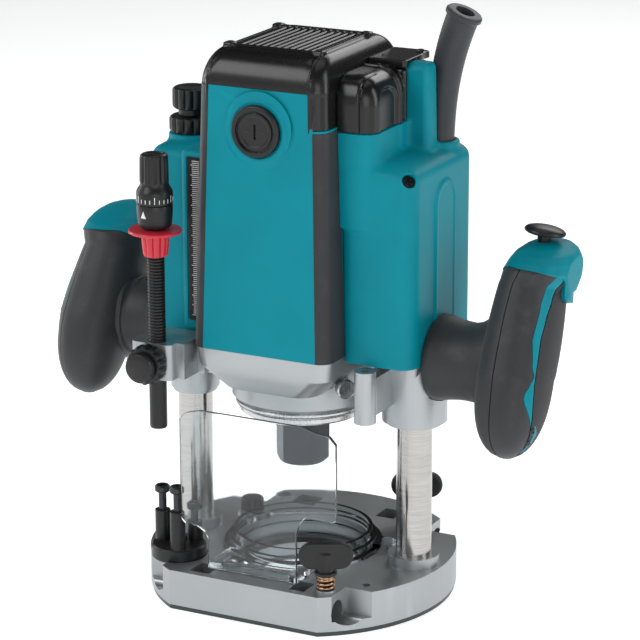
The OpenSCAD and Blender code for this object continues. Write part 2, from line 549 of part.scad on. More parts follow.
// cap over the top of a grip whose joint is at height top
module cap_form(top = 171) {
    skin([grip_ring(top, 90, 1), grip_ring(top, 90, 1.06, [1.2, 1.6, 0.8]), grip_ring(top, 90, 1.08, [2.2, 5.2, 7], 0.24), grip_ring(top, 90, 1.04, [2.6, 8, 12.6], 0.12),
        grip_ring(top, 90, 0.88, [2.4, 9.6, 16.4], 0.04), grip_ring(top, 90, 0.68, [2.4, 11.4, 18.8], 0), grip_ring(top, 90, 0.42, [2.4, 12.4, 20.2], 0), grip_ring(top, 90, 0.14, [2.4, 12.6, 20.6], 0)]);
}
module stem_form(gx = grip_x, wz = 150) {
    hull() {
        translate([gx - 4, -6, 131]) rotate([0, 90, 0]) cylinder(r = 20, h = 1, $fn = 32);
        translate([92, 1, 131]) rotate([0, 90, 0]) cylinder(r = 19.4, h = 1, $fn = 32);
    }
    hull() {
        translate([80, 1, 131]) rotate([0, 90, 0]) cylinder(r = 21.5, h = 1, $fn = 32);
        translate([94, 1, 131]) rotate([0, 90, 0]) cylinder(r = 19.2, h = 1, $fn = 32);
    }
    // web that sweeps up from the stem to the grip
    hull() { translate([96, 0, 136]) rotate([0, 90, 0]) cylinder(r = 14, h = 1, $fn = 32); translate([gx - 9, 4, wz]) rotate([0, 90, 0]) cylinder(r = 12, h = 2, $fn = 32); }
    translate([75.3, 1, 131]) rotate([0, 90, 0]) cylinder(r = 21.5, h = 5);
    xcyl(0, 131, 16.9, 74.2, 76);
}
module grip_hollow(gx, zt) { hull() { for (z = [112, zt]) translate([gx, grip_y(z), z]) sphere(r = 11, $fn = 24); } }
module trigger_mouth() { translate([grip_x - 6, grip_y(152) + 4, 138]) cube([10.4, 40, 26]); }
module inner_half() {
    difference() {
        union() {
            intersection() { translate([grip_x, 0, 0]) grip_form(); box(60, grip_x + 3.9, -80, 80, 60, 240); }
            difference() { stem_form(); box(grip_x + 3.9, 200, -80, 80, 0, 300); }
        }
        // hollow that holds the switch linkage
        grip_hollow(grip_x, 152);
        xcyl(0, 131, 10, 60, grip_x);
        // mouth of the trigger, at the rear of the grip
        trigger_mouth();
        translate([grip_x, button_y, 150]) cylinder(r = 4, h = 40);
    }
}
module outer_half() {
    difference() {
        intersection() { translate([grip_x, 0, 0]) grip_form(); box(grip_x + 3.9, 200, -80, 80, 60, 240); }
        grip_hollow(grip_x, 152);
        trigger_mouth();
        translate([grip_x, button_y, 150]) cylinder(r = 4, h = 40);
    }
}
module cap_half() {
    difference() {
        translate([grip_x, 0, 0]) cap_form();
        translate([grip_x, button_y, 150]) cylinder(r = 3.4, h = 60);
    }
}
module right_grip_inner() { color([0.22, 0.22, 0.23]) inner_half(); }
module right_grip_outer() { color([0.24, 0.24, 0.25]) outer_half(); }
module right_grip_cap() { color([0, 0.55, 0.6]) cap_half(); }
left_x = grip_x - left_in;
module left_inner_solid() {
    difference() {
        union() {
            intersection() { translate([left_x, 0, 0]) grip_form(89.6, 163.6); box(60, left_x + 3.9, -80, 80, 60, 240); }
            difference() { stem_form(left_x, 141); box(left_x + 3.9, 200, -80, 80, 0, 300); }
        }
        grip_hollow(left_x, 150);
    }
}
module left_grip_inner() { color([0.22, 0.22, 0.23]) mirror([1, 0, 0]) left_inner_solid(); }
module left_grip_outer() {
    color([0.24, 0.24, 0.25]) mirror([1, 0, 0]) difference() {
        intersection() { translate([left_x, 0, 0]) grip_form(89.6, 163.6); box(left_x + 3.9, 200, -80, 80, 60, 240); }
        grip_hollow(left_x, 150);
    }
}
module left_grip_cap() { color([0, 0.55, 0.6]) mirror([1, 0, 0]) translate([left_x, 0, 0]) cap_form(163.6); }

// ---- spindle ----
module spindle_shaft() { color("lightgray") difference() { union() { rcyl(9.95, 86, 101, 0.5); cyl([0, 0], 8.5, 100, 124); cyl([0, 0], 7.98, 123, 236); cyl([0, 0], 4.98, 235, 276); } translate([0, 0, 85.9]) cylinder(r1 = 8.34, r2 = 6.78, h = 11.3); cyl([0, 0], 6.4, 80, 108); } }
module armature_core() { color("gray") difference() { cyl([0, 0], armature_r, 160, 204); cyl([0, 0], 7.99, 150, 210); for (i = [0:11]) rotate([0, 0, i * 30]) translate([armature_r, 0, 150]) cylinder(r = 1.3, h = 60, $fn = 16); } }
module commutator() { color("peru") difference() { cyl([0, 0], 15, 237, 260); cyl([0, 0], 5, 230, 262); for (i = [0:11]) rotate([0, 0, i * 30]) translate([14.2, -0.3, 236]) cube([2, 0.6, 26]); } }
module cooling_fan() {
    color([0.2, 0.2, 0.2]) {
        difference() { union() { cyl([0, 0], 12, 139, 152); cyl([0, 0], 30, 139, 141); } cyl([0, 0], 8, 130, 160); }
        for (i = [0:10]) rotate([0, 0, i * 360 / 11]) translate([11, -0.8, 140.5]) cube([18.5, 1.6, 11]);
    }
}
module collet_cone() { color("silver") difference() { translate([0, 0, 73]) rotate_extrude() polygon([[0, 0], [9.3, 0], [9.9, 1], [6.7, 24], [0, 24]]); cyl([0, 0], collet_d / 2, 60, 100); } }
module collet_nut() {
    color([0.3, 0.31, 0.33]) difference() {
        intersection() {
            translate([0, 0, 66.4]) rotate([0, 0, 12]) cylinder(r = nut_af / 2 / cos(30), h = 25.4, $fn = 6);
            translate([0, 0, 66.4]) rotate_extrude() polygon([[0, 0], [11.6, 0], [14.2, 2.4], [14.2, 25.4], [0, 25.4]]);
        }
        translate([0, 0, 72.9]) cylinder(r1 = 9.98, r2 = 10, h = 20);
        cyl([0, 0], 7.2, 60, 100);
    }
}

// ---- depth stop ----
module pole_place() { translate([pole_p[0], pole_p[1], 0]) children(); }
module stop_pole() {
    color([0.1, 0.1, 0.1]) pole_place() difference() {
        union() {
            rcyl(pole_d / 2, 91, 230.4, 1);
            rcyl(8.7, 195, 206.8, 0.6);
        }
        for (z = [138:1.6:178]) translate([0, 0, z]) rotate_extrude() polygon([[pole_d / 2 - 0.45, 0.5], [pole_d / 2 + 1, 0], [pole_d / 2 + 1, 1]]);
        // indicator mark
        box(-0.5, 0.5, -10, -8.2, 201, 205);
    }
}
module pole_pointer() {
    color([0.8, 0.12, 0.18]) pole_place() difference() {
        union() { rcyl(13.3, 192.2, 194, 0.3); rcyl(6.9, 181, 193, 0.3); }
        cyl([0, 0], pole_d / 2 + 0.05, 170, 200);
        for (i = [0:9]) rotate([0, 0, i * 36]) translate([7.2, 0, 170]) cylinder(r = 0.9, h = 22.2, $fn = 16);
    }
}
module pole_dial() {
    color([0.1, 0.1, 0.1]) pole_place() difference() {
        union() { rcyl(8.9, 206.9, 217, 0.5); fluted(8.4, 216.8, 230, 14, 1.0); translate([0, 0, 229.6]) rcyl(7.4, 0, 2.6, 1); }
        cyl([0, 0], pole_d / 2 + 0.05, 195, 230.5);
        for (i = [0:19]) rotate([0, 0, i * 18]) box(-0.25, 0.25, -10, -8.6, 208, i % 5 == 0 ? 212.5 : 210.5);
    }
}
module pole_clamp_knob() {
    color([0.08, 0.08, 0.08]) translate([pole_p[0], 0, 126.8]) {
        ycyl(0, 0, 2.95, -66, -58.2);
        translate([0, -60, 0]) rotate([90, 0, 0]) fluted(10.2, 0, 8.4, 14, 1.2);
        translate([0, -68, 0]) rotate([90, 0, 0]) rcyl(7.6, 0, 5.2, 0.9);
    }
}
module plunge_lock_lever() {
    color([0.1, 0.1, 0.1]) translate([-cx, 0, 118]) {
        ycyl(0, 0, 4, 13, 31);
        translate([0, 31, 0]) rotate([-90, 0, 0]) rcyl(9, 0, 7, 1);
        hull() { translate([0, 34, 0]) rotate([-90, 0, 0]) cylinder(r = 6, h = 5, $fn = 32); translate([-28, 38, 10]) rotate([-90, 0, 0]) cylinder(r = 5, h = 4, $fn = 32); }
    }
}
module trigger() {
    color([0.75, 0.1, 0.12]) translate([grip_x - 5.6, grip_y(152), 0]) difference() {
        translate([0, 10, 138.4]) cube([9.6, 17, 25.2]);
        translate([-1, 34, 152]) rotate([0, 90, 0]) cylinder(r = 12, h = 12);
    }
}
module lock_off_button() {
    color([0.2, 0.2, 0.21]) {
        translate([grip_x, button_y, 0]) { rcyl(3.1, 176, 196.2, 0.3); translate([1.2, 0, 195.8]) rotate([-9, 0, 0]) hull() { cylinder(r = 10.4, h = 1.6, $fn = 32); translate([0, 0, 2.6]) cylinder(r = 7.5, h = 1.2, $fn = 32); } }
    }
}
module shaft_lock_pin() { color("silver") rotate([0, 0, -37]) { xcyl(0, 117.5, 2.92, 14, 47); translate([46.4, 0, 117.5]) rotate([0, 90, 0]) rcyl(4.9, 0, 3.8, 0.6); } }

base_casting();
sole_plate();
sole_screws();
guide_columns();
limit_rod();
dust_guard();
chip_shield();
turret_screw();
guide_screw_springs();
dust_guard_screw();
front_guide_screw();
rear_guide_screw();
stop_turret();
turret_bolts();
lower_limit_nut();
upper_limit_nut();
bracket_casting();
pole_clamp_lug();
column_bushes();
motor_housing();
corner_guards();
top_cover();
vent_cowl();
right_housing();
left_housing();
depth_scale();
cord_boot();
right_grip_inner();
right_grip_outer();
right_grip_cap();
left_grip_inner();
left_grip_outer();
left_grip_cap();
field_core();
field_coils();
brush_holders();
carbon_brushes();
brush_caps();
lower_bearing();
upper_bearing();
bearing_retainer();
retainer_screws();
switch_body();
housing_screws();
column_springs();
spindle_shaft();
armature_core();
commutator();
cooling_fan();
collet_cone();
collet_nut();
stop_pole();
pole_pointer();
pole_dial();
pole_clamp_knob();
plunge_lock_lever();
trigger();
lock_off_button();
shaft_lock_pin();
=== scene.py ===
import json
import math

import bmesh
import bpy
import numpy as np
from mathutils import Matrix, Vector

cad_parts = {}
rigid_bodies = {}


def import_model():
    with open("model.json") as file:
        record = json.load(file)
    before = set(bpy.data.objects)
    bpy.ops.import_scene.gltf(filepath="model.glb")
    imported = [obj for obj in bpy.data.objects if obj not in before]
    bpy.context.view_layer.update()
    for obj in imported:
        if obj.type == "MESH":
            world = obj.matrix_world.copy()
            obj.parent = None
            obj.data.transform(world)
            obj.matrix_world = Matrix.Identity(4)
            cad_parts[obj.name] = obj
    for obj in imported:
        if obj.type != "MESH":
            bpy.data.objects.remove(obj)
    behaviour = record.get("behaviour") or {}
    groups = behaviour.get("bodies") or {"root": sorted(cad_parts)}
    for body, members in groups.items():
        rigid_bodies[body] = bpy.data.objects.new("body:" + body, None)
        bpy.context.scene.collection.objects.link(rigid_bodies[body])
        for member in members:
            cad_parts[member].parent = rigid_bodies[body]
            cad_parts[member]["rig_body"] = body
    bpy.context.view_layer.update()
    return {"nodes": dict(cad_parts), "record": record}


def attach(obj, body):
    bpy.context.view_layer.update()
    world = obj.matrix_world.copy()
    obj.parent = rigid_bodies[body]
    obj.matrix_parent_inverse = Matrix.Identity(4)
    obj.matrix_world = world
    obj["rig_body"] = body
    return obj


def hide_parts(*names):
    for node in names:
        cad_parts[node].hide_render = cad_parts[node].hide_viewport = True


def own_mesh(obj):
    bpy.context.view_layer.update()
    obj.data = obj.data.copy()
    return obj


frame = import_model()


NODES = frame["nodes"]
BODY = {n: o["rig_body"] for n, o in NODES.items()}
MM = 0.001
D2R = math.pi / 180

# ------------------------------------------------------------------ camera, light and floor
scene = bpy.context.scene
scene.view_settings.view_transform = "Standard"
scene.view_settings.look = "None"

cam_data = bpy.data.cameras.new("camera")
cam = bpy.data.objects.new("camera", cam_data)
scene.collection.objects.link(cam)
cam_data.sensor_width = 36
cam_data.lens = 171.55
cam_data.clip_start = 0.05
cam_data.clip_end = 30
right = Vector((0.8898, 0.4564, -0.0023)).normalized()
look = Vector((-0.4377, 0.8518, -0.2878)).normalized()
up = right.cross(look).normalized()
right = look.cross(up).normalized()
cam.matrix_world = Matrix(((right.x, up.x, -look.x, 0.6807), (right.y, up.y, -look.y, -1.30574), (right.z, up.z, -look.z, 0.58235), (0, 0, 0, 1)))
scene.camera = cam

world = bpy.data.worlds.new("studio")
scene.world = world
world.use_nodes = True
wt = world.node_tree
wc_ = wt.nodes.new("ShaderNodeTexCoord")
ws_ = wt.nodes.new("ShaderNodeSeparateXYZ")
wr_ = wt.nodes.new("ShaderNodeValToRGB")
wt.links.new(wc_.outputs["Generated"], ws_.inputs[0])
wt.links.new(ws_.outputs[2], wr_.inputs[0])
wm_ = wt.nodes.new("ShaderNodeMapRange")
wm_.inputs["From Min"].default_value = -0.25
wm_.inputs["From Max"].default_value = 0.55
wm_.inputs["To Min"].default_value = 1.0
wm_.inputs["To Max"].default_value = 0.16
wt.links.new(ws_.outputs[1], wm_.inputs["Value"])
wx_ = wt.nodes.new("ShaderNodeMix")
wx_.data_type = "RGBA"
wx_.blend_type = "MULTIPLY"
wx_.inputs[0].default_value = 1.0
wt.links.new(wr_.outputs[0], wx_.inputs[6])
wt.links.new(wm_.outputs[0], wx_.inputs[7])
wt.links.new(wx_.outputs[2], wt.nodes["Background"].inputs[0])
wr_.color_ramp.elements[0].position = 0.0
wr_.color_ramp.elements[0].color = (1.0, 1.0, 1.0, 1)
wr_.color_ramp.elements[1].position = 0.75
wr_.color_ramp.elements[1].color = (0.13, 0.135, 0.14, 1)
wt.nodes["Background"].inputs[1].default_value = 0.72


def area(name, loc, target, size, power, size_y=None, col=(1, 1, 1)):
    d = bpy.data.lights.new(name, "AREA")
    d.shape = "RECTANGLE"
    d.size = size
    d.size_y = size_y or size
    d.energy = power
    d.color = col
    o = bpy.data.objects.new(name, d)
    scene.collection.objects.link(o)
    o.location = loc
    o.rotation_euler = (Vector(target) - Vector(loc)).to_track_quat("-Z", "Y").to_euler()
    return o


mid = (0, 0, 0.15)
area("key", (-0.75, -1.05, 1.15), mid, 0.75, 9, 0.9)
area("front_fill", (0.9, -1.25, 0.55), mid, 0.9, 4.5, 0.9)
area("right_strip", (1.15, 0.15, 0.62), mid, 0.35, 4.5, 1.1)
area("left_strip", (-1.2, 0.1, 0.5), mid, 0.3, 3.5, 1.0)
area("top", (0.05, 0.15, 1.35), mid, 0.9, 2.2)
area("back_rim", (0.15, 1.25, 0.95), mid, 1.1, 6, 0.6)


def stage_mesh(name, verts, faces):
    m = bpy.data.meshes.new(name)
    m.from_pydata(verts, [], faces)
    o = bpy.data.objects.new(name, m)
    scene.collection.objects.link(o)
    return o


floor_mat = bpy.data.materials.new("floor")
floor_mat.use_nodes = True
floor_mat.node_tree.nodes["Principled BSDF"].inputs["Base Color"].default_value = (0.93, 0.935, 0.94, 1)
floor_mat.node_tree.nodes["Principled BSDF"].inputs["Roughness"].default_value = 0.8
floor_mat.node_tree.nodes["Principled BSDF"].inputs["Emission Color"].default_value = (1, 1, 1, 1)
floor_mat.node_tree.nodes["Principled BSDF"].inputs["Emission Strength"].default_value = 0.6
floor = stage_mesh("floor", [(-8, -8, 0), (8, -8, 0), (8, 8, 0), (-8, 8, 0)], [(0, 1, 2, 3)])
floor.data.materials.append(floor_mat)

# ------------------------------------------------------------------ materials


class Net:
    """A small helper that builds one material's nodes."""

    def __init__(self, name):
        self.mat = bpy.data.materials.new(name)
        self.mat.use_nodes = True
        self.t = self.mat.node_tree
        self.t.nodes.clear()
        self.out = self.t.nodes.new("ShaderNodeOutputMaterial")
        self.bsdf = self.t.nodes.new("ShaderNodeBsdfPrincipled")
        self.t.links.new(self.bsdf.outputs[0], self.out.inputs[0])
        self.coord = self.t.nodes.new("ShaderNodeTexCoord").outputs["Object"]

    def link(self, a, b):
        self.t.links.new(a, b)

    def scaled(self, s):
        n = self.t.nodes.new("ShaderNodeMapping")
        n.inputs["Scale"].default_value = s
        self.link(self.coord, n.inputs["Vector"])
        return n.outputs[0]

    def noise(self, scale, detail=2.0, rough=0.5, stretch=None):
        n = self.t.nodes.new("ShaderNodeTexNoise")
        n.inputs["Scale"].default_value = scale
        n.inputs["Detail"].default_value = detail
        n.inputs["Roughness"].default_value = rough
        self.link(self.scaled(stretch) if stretch else self.coord, n.inputs["Vector"])
        return n.outputs["Fac"]

    def voronoi(self, scale, feature="F1"):
        n = self.t.nodes.new("ShaderNodeTexVoronoi")
        n.feature = feature
        n.inputs["Scale"].default_value = scale
        self.link(self.coord, n.inputs["Vector"])
        return n.outputs["Distance"]

    def ramp(self, fac, lo, hi, a=0.0, b=1.0):
        n = self.t.nodes.new("ShaderNodeMapRange")
        n.inputs["From Min"].default_value = lo
        n.inputs["From Max"].default_value = hi
        n.inputs["To Min"].default_value = a
        n.inputs["To Max"].default_value = b
        self.link(fac, n.inputs["Value"])
        return n.outputs[0]

    def math(self, op, a, b):
        n = self.t.nodes.new("ShaderNodeMath")
        n.operation = op
        for i, v in enumerate((a, b)):
            if isinstance(v, (int, float)):
                n.inputs[i].default_value = v
            else:
                self.link(v, n.inputs[i])
        return n.outputs[0]

    def mix(self, fac, a, b):
        n = self.t.nodes.new("ShaderNodeMix")
        n.data_type = "RGBA"
        for i, v in ((0, fac), (6, a), (7, b)):
            if isinstance(v, (int, float)):
                n.inputs[i].default_value = v
            elif isinstance(v, (tuple, list)):
                n.inputs[i].default_value = (*v, 1) if len(v) == 3 else v
            else:
                self.link(v, n.inputs[i])
        return n.outputs[2]

    def bump(self, height, strength, distance, under=None):
        n = self.t.nodes.new("ShaderNodeBump")
        n.inputs["Strength"].default_value = strength
        n.inputs["Distance"].default_value = distance
        self.link(height, n.inputs["Height"])
        if under is not None:
            self.link(under, n.inputs["Normal"])
        return n.outputs[0]

    def edge(self, lo=0.52, hi=0.62):
        g = self.t.nodes.new("ShaderNodeNewGeometry")
        return self.ramp(g.outputs["Pointiness"], lo, hi)

    def set(self, **k):
        names = {"color": "Base Color", "rough": "Roughness", "metal": "Metallic", "spec": "Specular IOR Level", "coat": "Coat Weight",
                 "coat_rough": "Coat Roughness", "trans": "Transmission Weight", "ior": "IOR", "normal": "Normal", "sheen": "Sheen Weight",
                 "sheen_rough": "Sheen Roughness", "aniso": "Anisotropic", "alpha": "Alpha"}
        for key, v in k.items():
            s = self.bsdf.inputs[names[key]]
            if isinstance(v, (int, float)):
                s.default_value = v
            elif isinstance(v, (tuple, list)):
                s.default_value = (*v, 1) if len(v) == 3 else v
            else:
                self.link(v, s)
        return self


def shade(c, k):
    return tuple(min(1.0, v * k) for v in c)


def plastic(name, col, rough, grain=2600, bump=0.12, spec=0.5, coat=0.0, coat_rough=0.1, edge_k=1.18, dist=0.00008, var=0.07, scuff=0.35):
    n = Net(name)
    fine = n.noise(grain, 2.0, 0.55)
    broad = n.noise(26, 3.0, 0.55)
    scratch = n.ramp(n.noise(120, 4.0, 0.7, (1, 1, 0.18)), 0.60, 0.74)
    c = n.mix(n.ramp(broad, 0.3, 0.7), shade(col, 1 - var), shade(col, 1 + var))
    c = n.mix(n.math("MULTIPLY", scratch, 0.10 * scuff), c, shade(col, 1.6))
    c = n.mix(n.math("MULTIPLY", n.edge(), 0.5), c, shade(col, edge_k))
    r = n.math("ADD", n.ramp(broad, 0.25, 0.75, rough - 0.035, rough + 0.045), n.math("MULTIPLY", scratch, 0.12 * scuff))
    r = n.math("ADD", r, n.ramp(fine, 0.3, 0.7, -0.02, 0.03))
    n.set(color=c, rough=r, spec=spec, coat=coat, coat_rough=coat_rough, normal=n.bump(fine, bump, dist))
    return n.mat


def rubber(name, col, rough=0.62, grain=1500, bump=0.25):
    n = Net(name)
    cell = n.voronoi(grain)
    fine = n.noise(grain * 1.7, 2.0, 0.6)
    broad = n.noise(30, 3.0, 0.55)
    h = n.math("ADD", n.math("MULTIPLY", cell, 0.7), n.math("MULTIPLY", fine, 0.5))
    dust = n.ramp(n.noise(75, 4.0, 0.68), 0.56, 0.78)
    c = n.mix(n.ramp(broad, 0.3, 0.7), shade(col, 0.9), shade(col, 1.12))
    c = n.mix(n.math("MULTIPLY", dust, 0.10), c, (0.2, 0.2, 0.2))
    c = n.mix(n.math("MULTIPLY", n.edge(0.51, 0.6), 0.35), c, shade(col, 1.7))
    n.set(color=c, rough=n.ramp(broad, 0.25, 0.75, rough - 0.06, rough + 0.06), spec=0.42, sheen=0.12, sheen_rough=0.5, normal=n.bump(h, bump, 0.00012))
    return n.mat


def cast(name, col, rough=0.4, metal=0.72):
    n = Net(name)
    fine = n.noise(1700, 3.0, 0.6)
    peel = n.noise(330, 2.0, 0.5)
    broad = n.noise(22, 3.0, 0.55)
    spark = n.ramp(n.voronoi(2600), 0.0, 0.22, 1.0, 0.0)
    c = n.mix(n.ramp(broad, 0.3, 0.7), shade(col, 0.93), shade(col, 1.06))
    c = n.mix(n.math("MULTIPLY", spark, 0.22), c, shade(col, 1.35))
    c = n.mix(n.math("MULTIPLY", n.edge(0.51, 0.6), 0.55), c, shade(col, 1.3))
    h = n.math("ADD", n.math("MULTIPLY", fine, 0.5), peel)
    r = n.math("ADD", n.ramp(broad, 0.25, 0.75, rough - 0.04, rough + 0.05), n.ramp(fine, 0.3, 0.7, -0.04, 0.05))
    n.set(color=c, rough=r, metal=metal, normal=n.bump(h, 0.16, 0.00012))
    return n.mat


def turned(name, col, rough=0.26, stretch=(0.02, 0.02, 1.0), lines=3400, metal=1.0, bump=0.10, spot=0.3):
    """Metal with fine tool lines; stretch is small along the lines."""
    n = Net(name)
    line = n.noise(lines, 2.0, 0.6, stretch)
    broad = n.noise(34, 3.0, 0.5)
    smear = n.ramp(n.noise(90, 4.0, 0.65, (1, 1, 0.4)), 0.5, 0.8)
    c = n.mix(n.ramp(line, 0.35, 0.65), shade(col, 0.88), shade(col, 1.08))
    c = n.mix(n.math("MULTIPLY", smear, spot * 0.4), c, shade(col, 0.72))
    r = n.math("ADD", n.ramp(line, 0.3, 0.7, rough - 0.05, rough + 0.05), n.math("MULTIPLY", smear, 0.08))
    n.set(color=c, rough=r, metal=metal, normal=n.bump(line, bump, 0.00004))
    return n.mat


def clear(name, tint, rough=0.04):
    n = Net(name)
    haze = n.noise(60, 4.0, 0.6)
    scratch = n.ramp(n.noise(500, 3.0, 0.7, (1, 1, 0.06)), 0.66, 0.74)
    c = n.mix(n.ramp(haze, 0.3, 0.7), tint, shade(tint, 1.02))
    r = n.math("ADD", n.ramp(haze, 0.3, 0.8, rough, rough + 0.05), n.math("MULTIPLY", scratch, 0.12))
    n.set(color=c, rough=r, trans=1.0, ior=1.38, normal=n.bump(haze, 0.05, 0.0001))
    return n.mat


def dots_rubber(name, col):
    """Rubber with a sparse pattern of small raised dots."""
    n = Net(name)
    v = n.t.nodes.new("ShaderNodeTexVoronoi")
    v.inputs["Scale"].default_value = 235
    v.inputs["Randomness"].default_value = 0.12
    n.link(n.coord, v.inputs["Vector"])
    dot = n.ramp(v.outputs["Distance"], 0.16, 0.24, 1.0, 0.0)
    fine = n.noise(2400, 2.0, 0.6)
    cell = n.voronoi(1400)
    broad = n.noise(30, 3.0, 0.55)
    c = n.mix(n.ramp(broad, 0.3, 0.7), shade(col, 0.9), shade(col, 1.1))
    c = n.mix(dot, c, shade(col, 0.35))
    first = n.bump(n.math("ADD", n.math("MULTIPLY", fine, 0.5), n.math("MULTIPLY", cell, 0.6)), 0.25, 0.00012)
    n.set(color=c, rough=n.ramp(broad, 0.25, 0.75, 0.56, 0.68), spec=0.4, normal=n.bump(dot, 0.7, 0.0005, first))
    return n.mat


TEAL = (0.0, 0.225, 0.285)
M = {
    "teal_plastic": plastic("teal_plastic", TEAL, 0.44, grain=2300, bump=0.20, spec=0.14, edge_k=1.35, dist=0.0001, scuff=0.25),
    "gloss_black": plastic("gloss_black", (0.006, 0.006, 0.0065), 0.24, grain=1500, bump=0.05, spec=0.42, coat=0.0, coat_rough=0.08, edge_k=3.0, scuff=0.8),
    "grip_rubber": rubber("grip_rubber", (0.020, 0.021, 0.023), 0.52, 1700, 0.28),
    "guard_rubber": rubber("guard_rubber", (0.013, 0.013, 0.015), 0.5, 1500, 0.18),
    "boot_rubber": rubber("boot_rubber", (0.022, 0.025, 0.030), 0.5, 1300, 0.18),
    "cast_aluminium": cast("cast_aluminium", (0.36, 0.38, 0.39), 0.36, 0.85),
    "machined_aluminium": turned("machined_aluminium", (0.58, 0.59, 0.60), 0.27, (1, 1, 0.05), 1800),
    "column_steel": turned("column_steel", (0.47, 0.455, 0.44), 0.17, (0.03, 0.03, 1.0), 2600, spot=0.25),
    "dark_steel": turned("dark_steel", (0.055, 0.058, 0.064), 0.34, (1, 1, 0.1), 1500),
    "bright_steel": turned("bright_steel", (0.56, 0.56, 0.57), 0.24, (1, 1, 0.08), 2000),
    "sole_plastic": plastic("sole_plastic", (0.02, 0.03, 0.031), 0.36, grain=1200, bump=0.1, edge_k=2.2),
    "black_plastic": plastic("black_plastic", (0.008, 0.008, 0.009), 0.34, grain=2000, bump=0.16, spec=0.4, edge_k=3.2, scuff=0.7),
    "red_plastic": plastic("red_plastic", (0.56, 0.022, 0.04), 0.34, grain=2200, bump=0.1, edge_k=1.25),
    "clear_plastic": clear("clear_plastic", (0.90, 0.945, 0.965)),
    "spring_steel": turned("spring_steel", (0.42, 0.27, 0.17), 0.26, (1, 1, 0.3), 1800),
    "bronze": turned("bronze", (0.5, 0.33, 0.16), 0.3, (0.05, 0.05, 1), 1800),
    "copper": turned("copper", (0.60, 0.27, 0.13), 0.28, (0.05, 0.05, 1), 2200),
    "lamination": turned("lamination", (0.20, 0.20, 0.21), 0.42, (0.02, 0.02, 1), 1700, metal=0.8, bump=0.4),
    "carbon": plastic("carbon", (0.02, 0.02, 0.021), 0.48, grain=3000, bump=0.2, edge_k=2.0),
    "dots_rubber": dots_rubber("dots_rubber", (0.024, 0.025, 0.027)),
    "scale_metal": turned("scale_metal", (0.62, 0.63, 0.64), 0.32, (0.05, 0.05, 1), 2200),
    "white_print": plastic("white_print", (0.72, 0.73, 0.73), 0.4, grain=2400, bump=0.08, edge_k=1.1),
}
SLOT_OF = {s["node"]: s["material_slot"] for s in frame["record"]["subparts"]}


def give(o, key):
    o.data.materials.clear()
    o.data.materials.append(M[key])
    return o


# ------------------------------------------------------------------ mesh helpers, all in millimetres


def piece(name, verts, faces, like, slot=None, mat=None, replaces=(), smooth=35, bevel=None, subsurf=0, recalc=True):
    """A visible piece: verts in mm, riding on the body of the CAD node named by like."""
    m = bpy.data.meshes.new(name)
    m.from_pydata([tuple(float(c) * MM for c in v) for v in verts], [], faces)
    m.validate()
    o = bpy.data.objects.new(name, m)
    scene.collection.objects.link(o)
    if recalc:
        bm = bmesh.new()
        bm.from_mesh(m)
        bmesh.ops.remove_doubles(bm, verts=bm.verts, dist=1e-6)
        bmesh.ops.recalc_face_normals(bm, faces=bm.faces)
        bm.to_mesh(m)
        bm.free()
    finish_piece(o, like, slot, mat, replaces, smooth, bevel, subsurf)
    return o


def finish_piece(o, like, slot=None, mat=None, replaces=(), smooth=35, bevel=None, subsurf=0):
    slot = slot or SLOT_OF[like]
    give(o, mat or slot)
    o.data.shade_smooth()
    o.data.set_sharp_from_angle(angle=smooth * D2R)
    if bevel:
        b = o.modifiers.new("bevel", "BEVEL")
        b.width = bevel * MM
        b.segments = 3
        b.limit_method = "ANGLE"
        b.angle_limit = 32 * D2R
        b.harden_normals = True
    if subsurf:
        s = o.modifiers.new("subsurf", "SUBSURF")
        s.levels = subsurf
        s.render_levels = subsurf
    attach(o, BODY[like])
    if replaces:
        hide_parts(*replaces)
    return o


def loft(rings, cap0=True, cap1=True):
    n = len(rings[0])
    verts = [p for r in rings for p in r]
    faces = []
    for j in range(len(rings) - 1):
        for i in range(n):
            k = (i + 1) % n
            faces.append((j * n + i, j * n + k, (j + 1) * n + k, (j + 1) * n + i))
    if cap0:
        faces.append(tuple(range(n))[::-1])
    if cap1:
        faces.append(tuple((len(rings) - 1) * n + i for i in range(n)))
    return verts, faces


def join(parts):
    verts, faces = [], []
    for v, f in parts:
        k = len(verts)
        verts += list(v)
        faces += [tuple(i + k for i in q) for q in f]
    return verts, faces


def revolve(profile, c=(0, 0, 0), axis="z", n=64):
    """profile: (radius, height) pairs along the axis; ends at radius 0 close it."""
    rings = []
    for r, h in profile:
        ring = []
        for i in range(n):
            a = 2 * math.pi * i / n
            x, y = max(r, 1e-4) * math.cos(a), max(r, 1e-4) * math.sin(a)
            p = {"z": (x, y, h), "-y": (x, -h, y), "x": (h, x, y)}[axis]
            ring.append((c[0] + p[0], c[1] + p[1], c[2] + p[2]))
        rings.append(ring)
    return loft(rings, profile[0][0] > 0.01, profile[-1][0] > 0.01)


def helix(r, wire, z0, z1, turns, c=(0, 0), n=20, k=8, flat_ends=True):
    steps = int(turns * n)
    rings = []
    for j in range(steps + 1):
        t = j / steps
        a = 2 * math.pi * turns * t
        s = t
        if flat_ends:
            e = 0.8 / turns
            s = min(max((t - e) / (1 - 2 * e), 0), 1)
        z = z0 + wire + (z1 - z0 - 2 * wire) * s
        d = Vector((math.cos(a), math.sin(a), 0))
        p = Vector((c[0], c[1], z)) + d * r
        rings.append([tuple(p + (d * math.cos(b) + Vector((0, 0, 1)) * math.sin(b)) * wire) for b in [2 * math.pi * i / k for i in range(k)]])
    return loft(rings)


# ------------------------------------------------------------------ the carried-over CAD nodes

